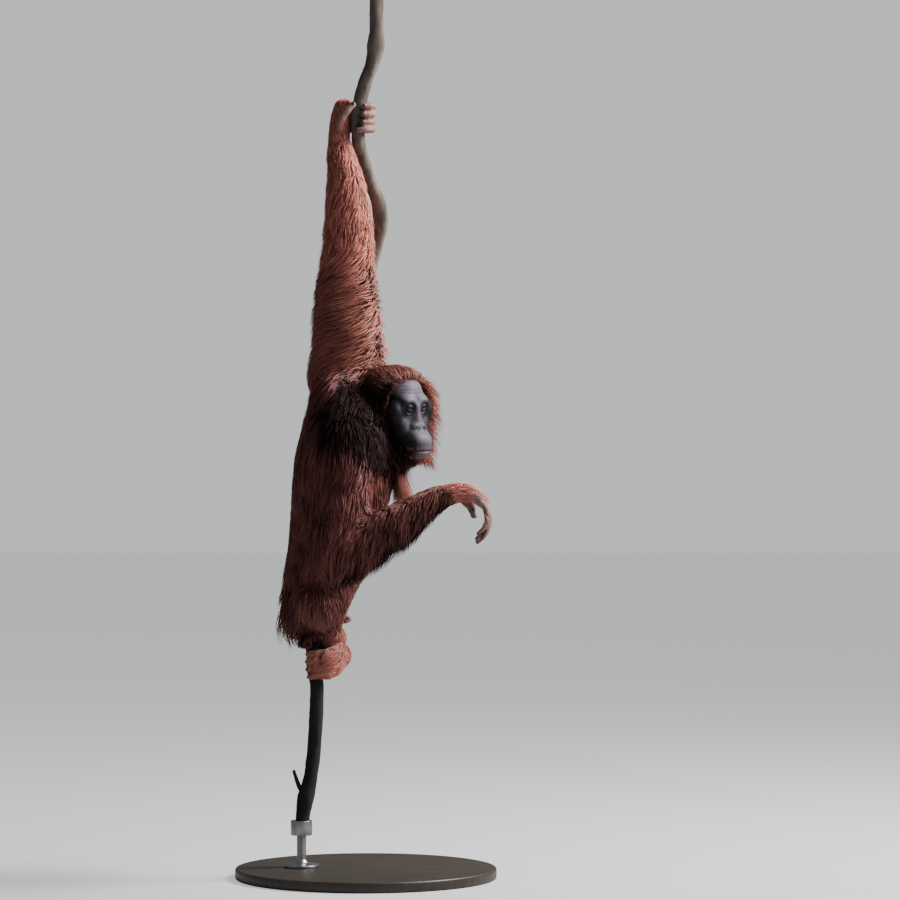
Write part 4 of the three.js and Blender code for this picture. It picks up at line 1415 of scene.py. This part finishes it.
length = lock_length[root_region] * chance.uniform(0.65, 1.15, LOCKS)
length = np.minimum(length, 14 * MM + 3.4 * root_room)
tip_share = 1 - 0.75 * chance.random(LOCKS) ** 1.4
unruly = np.where(chance.random(LOCKS) < 0.06, 2.5, 1.0)
paths, ups = walk(roots, root_normals, root_room, length, tip_share, unruly)
print("walked", LOCKS, "locks")

# %% [markdown]
# Long hair gathers into hanks. One lock in fourteen leads, and its neighbours lean towards it,
# more and more along their length, so that their tips come together in a point.

# %% Hanks
LEADERS_EVERY = 14
leaders = np.arange(0, LOCKS, LEADERS_EVERY)
tree = tree_of(roots[leaders])
led_by = np.array([leaders[tree.find(p)[1]] for p in roots])
lean = np.linspace(0, 1, STEPS + 1)[None, :, None] ** 1.3
lean = lean * chance.uniform(0.1, 0.65, LOCKS)[:, None, None]
close = np.sum(root_normals * root_normals[led_by], axis=1) > 0.6
lean = np.where(close[:, None, None], lean, 0)
paths = paths * (1 - lean) + paths[led_by] * lean
print(len(leaders), "hanks")

# %% [markdown]
# A lock is a thin three-sided blade, wide along the skin and thin across it, that narrows to
# a point. Every lock has the same twenty-two triangles, so a whole piece is one array. For the
# bake each lock needs a spot of its own: the skin's shape is thinned, cut and laid flat once,
# and a lock's patch is three thousandths across, at the place of its root on that flat skin.

# %% Flat skin for the bake
flat_mesh = worn_through(
    skin_mesh.copy(), "DECIMATE", np.ones(len(skin_mesh.vertices), bool), ratio=0.06)
flat_skin = bpy.data.objects.new("flat_skin", flat_mesh)
bpy.context.scene.collection.objects.link(flat_skin)
bpy.context.view_layer.objects.active = flat_skin
flat_skin.select_set(True)
bpy.ops.object.mode_set(mode="EDIT")
bpy.ops.mesh.select_all(action="SELECT")
bpy.ops.uv.smart_project(angle_limit=math.radians(66), island_margin=0.004)
bpy.ops.object.mode_set(mode="OBJECT")
flat_points = points_of(flat_mesh)
flat_corner_uv = np.empty(len(flat_mesh.loops) * 2)
flat_mesh.uv_layers.active.data.foreach_get("uv", flat_corner_uv)
flat_corner_uv = flat_corner_uv.reshape(-1, 2)
flat_mesh.calc_loop_triangles()
flat_triangles = np.array([t.vertices for t in flat_mesh.loop_triangles])
flat_loops = np.array([t.loops for t in flat_mesh.loop_triangles])
flat_tree = BVHTree.FromPolygons([v.co for v in flat_mesh.vertices], flat_triangles.tolist())
bpy.data.objects.remove(flat_skin)


def flat_places(points):
    found = [flat_tree.find_nearest(p) for p in points.tolist()]
    index = np.array([f[2] for f in found])
    place = np.array([f[0] for f in found])
    a, b, c = (flat_points[flat_triangles[index][:, k]] for k in range(3))
    whole = np.linalg.norm(np.cross(b - a, c - a), axis=1) + 1e-15
    first = np.linalg.norm(np.cross(b - place, c - place), axis=1) / whole
    second = np.linalg.norm(np.cross(c - place, a - place), axis=1) / whole
    spot = np.stack([first, second, np.clip(1 - first - second, 0, 1)], axis=1)
    return np.einsum("nk,nkc->nc", spot, flat_corner_uv[flat_loops[index]])


print("flat skin has", len(flat_triangles), "triangles")

# %% [markdown]
# Four rings of three points and a tip make a lock. Its width follows a taper, and marks on its
# points carry what the hair's material needs.

# %% Locks of hair
PATCH = 0.003
TAPER = np.array([0.7, 1.0, 0.9, 0.6, 0.0])
FLATNESS = 0.42
STRANDS = 5.0
SIDES = 3


def lock_faces():
    faces = [(2, 1, 0)]
    for ring in range(STEPS - 1):
        for k in range(SIDES):
            a, b = ring * SIDES + k, ring * SIDES + (k + 1) % SIDES
            faces += [(a, b, b + SIDES), (a, b + SIDES, a + SIDES)]
    last = (STEPS - 1) * SIDES
    return np.array(faces + [(last + k, last + (k + 1) % SIDES, STEPS * SIDES) for k in range(SIDES)])


LOCK_FACES = lock_faces()


def lock_points(paths, ups, width):
    tangent = unit(np.gradient(paths, axis=1))
    side = unit(np.cross(tangent, ups))
    lift = np.cross(side, tangent)
    rings = []
    for step in range(STEPS):
        for k in range(SIDES):
            turn = 2 * math.pi * k / SIDES + math.pi / 2
            wide = (width * TAPER[step] / 2)[:, None]
            rings.append(
                paths[:, step] + side[:, step] * math.cos(turn) * wide
                + lift[:, step] * math.sin(turn) * wide * FLATNESS)
    rings.append(paths[:, STEPS])
    return np.stack(rings, axis=1)


def coat_piece(name, paths, ups, width, flat, tone, warmth, material):
    count = len(paths)
    points = lock_points(paths, ups, width)
    each = points.shape[1]
    faces = (LOCK_FACES[None] + (np.arange(count) * each)[:, None, None]).reshape(-1, 3)
    mesh = bpy.data.meshes.new(name)
    mesh.from_pydata(points.reshape(-1, 3), [], faces)
    ring = np.append(np.repeat(np.arange(STEPS), SIDES), STEPS)
    around = np.append(np.tile(np.arange(SIDES), STEPS), 1) / (SIDES - 1)
    spot = np.stack([around - 0.5, ring / STEPS - 0.5], axis=1) * PATCH
    corner_uv = (flat[:, None, :] + spot[None]).reshape(-1, 2)[faces.ravel()]
    layer = mesh.uv_layers.new(name="OFBake")
    layer.data.foreach_set("uv", corner_uv.ravel())
    mark(mesh, "share", np.tile(ring / STEPS, count))
    mark(mesh, "tone", np.repeat(tone, each))
    mark(mesh, "warmth", np.repeat(warmth, each))
    across = np.append(np.tile([0.5, 0.0, 1.0], STEPS), 0.5) * STRANDS
    mark(mesh, "strand", (across[None, :] + np.arange(count)[:, None] * 7.3).ravel())
    return new_piece(name, mesh, material, "coat")


print("a lock has", len(LOCK_FACES), "triangles")

# %% [markdown]
# Orangutan hair is dark at the root and turns from maroon to orange at the tip. Four marks on each lock
# steer the colour: how far along it a point is, streaks that run the length of the lock as single
# strands do, a tone for the whole lock, and a warmth that is high on the beard, the throat and the
# hands' edge, where the hair is orange, and low on the back, where it is maroon. The tone is partly
# drawn at random and partly painted light and shade: the raised arm is painted lighter and the body
# darker, and beside the face, on the near shoulder and under the limbs the hair is painted darker as
# painted shade. On the side of every limb that faces +x, towards the high right lamp, which is the
# outer side of the forearms, the warmth is raised as painted light, most on the raised arm. The darkest
# locks, which are painted shade, wear a matt kind of hair.


# %% Hair
MAROON_ROOT, MAROON_TIP = (0.064, 0.017, 0.016), (0.200, 0.054, 0.050)
ORANGE_ROOT, ORANGE_TIP = (0.17, 0.055, 0.040), (0.60, 0.235, 0.165)
DARKEST, LIGHTEST = (0.08, 0.07, 0.075), (1.95, 1.9, 1.9)
STREAK_DARK, STREAK_LIGHT = (0.35, 0.33, 0.33), (1.65, 1.6, 1.55)
# The first number of each region is painted light and shade in the tone: the raised arm is lighter
# because it is lit, and the body, the lowered arm and the thighs are darker because they are in shade.
# The second number is the warmth of the region's hair.
REGION_LIGHT_AND_WARMTH = {
    "trunk": (-0.1, 0.12), "neck": (-0.1, 0.2), "throat": (0.05, 0.75),
    "upper_arm_left": (0.12, 0.22), "forearm_left": (0.5, 0.3),
    "upper_arm_right": (-0.12, 0.14), "forearm_right": (-0.2, 0.45),
    "thigh_right": (-0.15, 0.45), "shin_right": (0.0, 0.5),
    "thigh_left": (-0.1, 0.3), "shin_left": (0.0, 0.4), "head": (0.05, 0.4)}
SHADE_MIDDLE = from_head(np.array([[-4.0, -84.0, -66.0]]))
SHADE_NEAR, SHADE_FAR = 85 * MM, 150 * MM


def hair_material(name, roughness, gloss):
    material, nodes, links, surface = new_material(name, {
        "Roughness": roughness, "Specular IOR Level": gloss, "Specular Tint": (1.0, 0.82, 0.88, 1)})
    share, tone, warmth = (painted(nodes, mask) for mask in ("share", "tone", "warmth"))
    maroon = colour_mix(nodes, links, share, MAROON_ROOT, MAROON_TIP)
    orange = colour_mix(nodes, links, share, ORANGE_ROOT, ORANGE_TIP)
    both = colour_mix(nodes, links, warmth, maroon, orange)
    level = colour_mix(nodes, links, tone, DARKEST, LIGHTEST)
    toned = multiplied(nodes, links, both, level, 1.0)
    strand = added(nodes, "ShaderNodeTexNoise", {"Scale": 1.0, "Detail": 2})
    strand.noise_dimensions = "1D"
    links.new(painted(nodes, "strand"), strand.inputs["W"])
    streaks = colour_mix(nodes, links, strand.outputs["Fac"], STREAK_DARK, STREAK_LIGHT)
    links.new(multiplied(nodes, links, toned, streaks, 0.5), surface.inputs["Base Color"])
    return material


def in_regions(numbers, *names):
    return np.isin(numbers, [REGIONS.index(name) for name in names])


HAIR = hair_material("red-brown hair", 0.45, 0.5)
# A matt copy of the hair, with the same colours and less gloss, is given to the locks painted into
# shade.
MATT_SHADE_HAIR = hair_material("matt hair for shade", 0.65, 0.15)
root_head = to_head(roots)
on_head = in_regions(root_region, "head")
painted_region_light, base_warmth = np.array([REGION_LIGHT_AND_WARMTH[name] for name in REGIONS])[root_region].T
tone = 0.5 + chance.normal(0, 0.09, LOCKS) + wander_at(roots, 45 * MM, 0.3)[:, 0] + painted_region_light
# Painted shade: the tone is lowered on the lower hair of the head beside the face, round the near
# shoulder and neck, and on the undersides of the limbs, most under the lowered forearm.
cheek = rise(30 - root_head[:, 2], 0, 40) * (1 - rise(-root_head[:, 2], 70, 105)) * on_head
tone -= 0.8 * (1 - rise(np.linalg.norm(roots - SHADE_MIDDLE, axis=1), SHADE_NEAR, SHADE_FAR))
underside_shade = 0.2 + 0.2 * in_regions(root_region, "forearm_right")
tone -= 0.3 * cheek + underside_shade * rise(-root_normals[:, 2], 0.1, 0.8)
tone = np.clip(tone, 0, 1)
# Painted light: the hair on the side that faces +x, towards the high right lamp, is made warmer and so
# lighter, twice as much on the raised arm.
raised = in_regions(root_region, "forearm_left", "upper_arm_left")
warmth = base_warmth + (0.3 + 0.3 * raised) * rise(root_normals[:, 0], 0.1, 0.9)
warmth = warmth + 0.45 * rise(-root_head[:, 2], 100, 140) * on_head
warmth = np.clip(warmth + chance.normal(0, 0.1, LOCKS), 0, 1)
flat = flat_places(roots)
width = lock_width[root_region] * chance.uniform(0.75, 1.2, LOCKS)
print("mean tone", round(float(tone.mean()), 2), "and warmth", round(float(warmth.mean()), 2))

# %% [markdown]
# The backs of the hands and feet and the edge of the face carry short, sparse hair. The solids
# leave no room for it, so it gets a few millimetres of its own. It grows from the wrist and the
# ankle towards the digits and stops at the knuckles, and a few pale bristles stand round the
# lips and on the chin.

# %% Short hair
SHORT_LOCKS = 6500
SHORT_ROOM = 5 * MM
HAND_BACKS = {
    "palm_left": (-0.8, -0.6, 0.1), "palm_right": (-0.6, 0.0, 0.9),
    "sole_right": (0.75, -0.65, -0.2), "sole_left": (0.45, 0.85, 0.1)}


def hand_cover(points, normals):
    cover, flow = np.zeros(len(points)), np.zeros((len(points), 3))
    for name, back in HAND_BACKS.items():
        line = limb_line(name, 6)
        tangent = sections(line)[0]
        gaps = np.linalg.norm(points[:, None, :] - line[None, :, :3], axis=2)
        nearest = gaps.argmin(axis=1)
        gap = gaps.min(axis=1)
        wrist = 1 - rise(nearest / len(line), 0.1, 0.45)
        facing = np.maximum(rise(normals @ unit(np.array(back)), 0.0, 0.5), wrist)
        here = facing * (1 - rise(gap / MM, 44, 56))
        flow = np.where((here > cover)[:, None], tangent[nearest], flow)
        cover = np.maximum(cover, here)
    return cover, flow


def face_cover(points):
    q = to_head(points)
    line = lip_height(q)
    chin = rise(line - q[:, 2], 9, 16)
    lip = 0.2 * ridge(q[:, 2] - line, 14, 7)
    front = rise(q[:, 0], 60, 90)
    edge = 0.8 * (1 - rise(inside_hairline(q), 2, 12))
    return np.maximum(edge, front * np.maximum(chin, lip))


middle_normals = unit(skin_normals[triangles].mean(axis=1))
hand_share = hand_cover(middles, middle_normals)[0]
face_share = face_cover(middles) * bare_face(middles)
short_roots, short_normals, _ = scattered(SHORT_LOCKS, hand_share + face_share * 0.7)
hand_share, hand_flow = hand_cover(short_roots, short_normals)
on_hand = hand_share > 0
away = unit(short_roots - FACE_MIDDLE) + np.array([0.0, 0.0, -0.6])
short_flow = np.where(on_hand[:, None], hand_flow, away)
short_flow += chance.normal(0, 0.22, short_flow.shape) + np.array([0.0, 0.0, -0.15])
short_length = np.where(on_hand, 34, 12) * MM * chance.uniform(0.6, 1.2, SHORT_LOCKS)
stride = (short_length / STEPS)[:, None]
ground, facing = short_roots, short_normals
short_paths, short_ups = [ground - facing * MM], [facing]
short_rise = SHORT_ROOM * chance.uniform(0.4, 1.0, (SHORT_LOCKS, 1))
for step in range(1, STEPS + 1):
    along = short_flow - facing * np.sum(short_flow * facing, axis=1, keepdims=True)
    ground, facing = skin_below(ground + unit(along) * stride)[:2]
    short_paths.append(ground + facing * short_rise * (step / STEPS))
    short_ups.append(facing)
short_warmth = np.where(on_hand, 0.75, 0.9)
short_warmth = np.clip(short_warmth + chance.normal(0, 0.1, SHORT_LOCKS), 0, 1)
coat_piece(
    "coat_short", np.stack(short_paths, axis=1), np.stack(short_ups, axis=1),
    np.where(on_hand, 1.5, 0.7) * MM, flat_places(short_roots),
    np.clip(chance.normal(0.85, 0.2, SHORT_LOCKS), 0, 1), short_warmth, HAIR)
print(int(on_hand.sum()), "short locks on the hands and feet,", int((~on_hand).sum()), "on the face")

# %% [markdown]
# A fringe frames the face. It stands out sideways and forward from just behind the hairline,
# longest beside the far cheek, and droops towards its tips. Its locks don't walk over the
# skin: each is one bent line from its root.

# %% Fringe
FRINGE_LOCKS = 2400
FRINGE_DROOP = np.array([-0.1, 0.0, -0.5])
middle_head = to_head(middles)
to_line = inside_hairline(middle_head)
near_line = rise(to_line, -18, -6) * (to_line < 3) * (plain_face(middle_head) < 12)
near_line = near_line * (middle_head[:, 0] > -10) * (1 + 2 * rise(np.abs(middle_head[:, 1]), 30, 55))
fringe_roots = scattered(FRINGE_LOCKS, near_line)[0]
start = to_head(fringe_roots)
beside = rise(np.abs(start[:, 1]), 25, 55)
outward = np.stack([
    0.3 + 0.5 * beside, start[:, 1] / 75, (start[:, 2] + 30) / 110 * (1 - 0.6 * beside)], axis=1)
outward = unit(outward + chance.normal(0, 0.14, outward.shape))
reach = (16 + 22 * beside + 30 * beside * (start[:, 1] > 0)) * chance.uniform(0.5, 1.1, FRINGE_LOCKS)
fringe_paths = [start - outward * 2]
for step in range(1, STEPS + 1):
    share = step / STEPS
    fringe_paths.append(start + (outward * share + FRINGE_DROOP * share**2) * reach[:, None])
fringe_paths = np.stack([from_head(places) for places in fringe_paths], axis=1)
fringe_ups = np.broadcast_to(HEAD_AXES[:, 0], fringe_paths.shape)
# Painted shade: the fringe's tone is lowered on the near side of the face, below the crown, and the
# whole fringe wears the matt hair for shade.
fringe_shade = 0.6 * (1 - rise(start[:, 1], -25, 20)) * (1 - rise(start[:, 2], 38, 58))
coat_piece(
    "coat_fringe", fringe_paths, fringe_ups, np.full(FRINGE_LOCKS, 1.7 * MM),
    flat_places(fringe_roots),
    np.clip(chance.normal(0.5, 0.12, FRINGE_LOCKS) - fringe_shade, 0, 1),
    np.clip(chance.normal(0.5, 0.12, FRINGE_LOCKS), 0, 1), MATT_SHADE_HAIR)
print(FRINGE_LOCKS, "locks of fringe, up to", round(float(reach.max())), "mm long")

# %% [markdown]
# From the front of the throat hangs a bib of long orange locks. It hangs clear of the skin, as
# the throat ends well above the ends of the hair.

# %% Bib of the throat
BIB_LOCKS = 2000
BIB_LENGTH = 96 * MM
BIB_MIDDLE, BIB_SPREAD = (0.075, -0.012, 1.118), 0.09
on_throat = rise(middle_normals @ (0.7, 0.0, -0.7), 0.05, 0.4)
on_throat = on_throat * within(middles, BIB_MIDDLE, BIB_SPREAD)
on_throat = on_throat * in_regions(middle_region, "neck", "throat") * (plain_face(middle_head) > 14)
bib_roots, bib_normals, _ = scattered(BIB_LOCKS, on_throat)
hang = bib_normals * 0.45 * chance.uniform(0.3, 1.1, (BIB_LOCKS, 1))
hang = hang + chance.normal(0, 0.07, bib_normals.shape)
hang[:, 0] += chance.uniform(-0.14, 0.16, BIB_LOCKS)
hang = unit(hang + np.array([0.0, 0.0, -0.65]))
bib_reach = BIB_LENGTH * chance.uniform(0.5, 1.05, (BIB_LOCKS, 1))
bib_paths = np.stack([
    bib_roots + (hang * share + np.array([0.0, 0.0, -0.35]) * share**2) * bib_reach
    for share in np.linspace(-0.03, 1, STEPS + 1)], axis=1)
bib_ups = np.broadcast_to(np.array([1.0, 0.0, 0.0]), bib_paths.shape)
coat_piece(
    "coat_bib", bib_paths, bib_ups, np.full(BIB_LOCKS, 2.6 * MM), flat_places(bib_roots),
    np.clip(chance.normal(0.5, 0.14, BIB_LOCKS), 0, 1),
    np.clip(chance.normal(0.65, 0.12, BIB_LOCKS), 0, 1), HAIR)
print(BIB_LOCKS, "locks hang from the throat, to", round(float(bib_paths[..., 2].min()), 3), "m")

# %% [markdown]
# The coat is split by part of the body and then into lots of one size, so that no piece grows past two
# hundred thousand triangles. The darkest locks, which are painted shade, are pieces of their own, as
# they wear the matt copy of the hair made for shade.

# %% Pieces of the coat
MOST_LOCKS = 9000
MATT_BELOW = 0.16
COAT_PARTS = {
    "coat_body": ("trunk",), "coat_neck": ("neck", "throat"),
    "coat_raised_arm": ("upper_arm_left", "forearm_left"),
    "coat_lowered_arm": ("upper_arm_right", "forearm_right"),
    "coat_legs": ("thigh_right", "shin_right", "thigh_left", "shin_left"), "coat_head": ("head",)}


def coat_lots(part, chosen, material):
    members = np.flatnonzero(chosen)
    lots = max(1, math.ceil(len(members) / MOST_LOCKS))
    for number, lot in enumerate(np.array_split(members, lots)):
        coat_piece(
            f"{part}_{number + 1}", paths[lot], ups[lot], width[lot], flat[lot], tone[lot],
            warmth[lot], material)
    print(part, len(members), "locks in", lots, "pieces")


in_shade = tone < MATT_BELOW
for part, names in COAT_PARTS.items():
    coat_lots(part, in_regions(root_region, *names) & ~in_shade, HAIR)
coat_lots("coat_in_shade", in_shade, MATT_SHADE_HAIR)
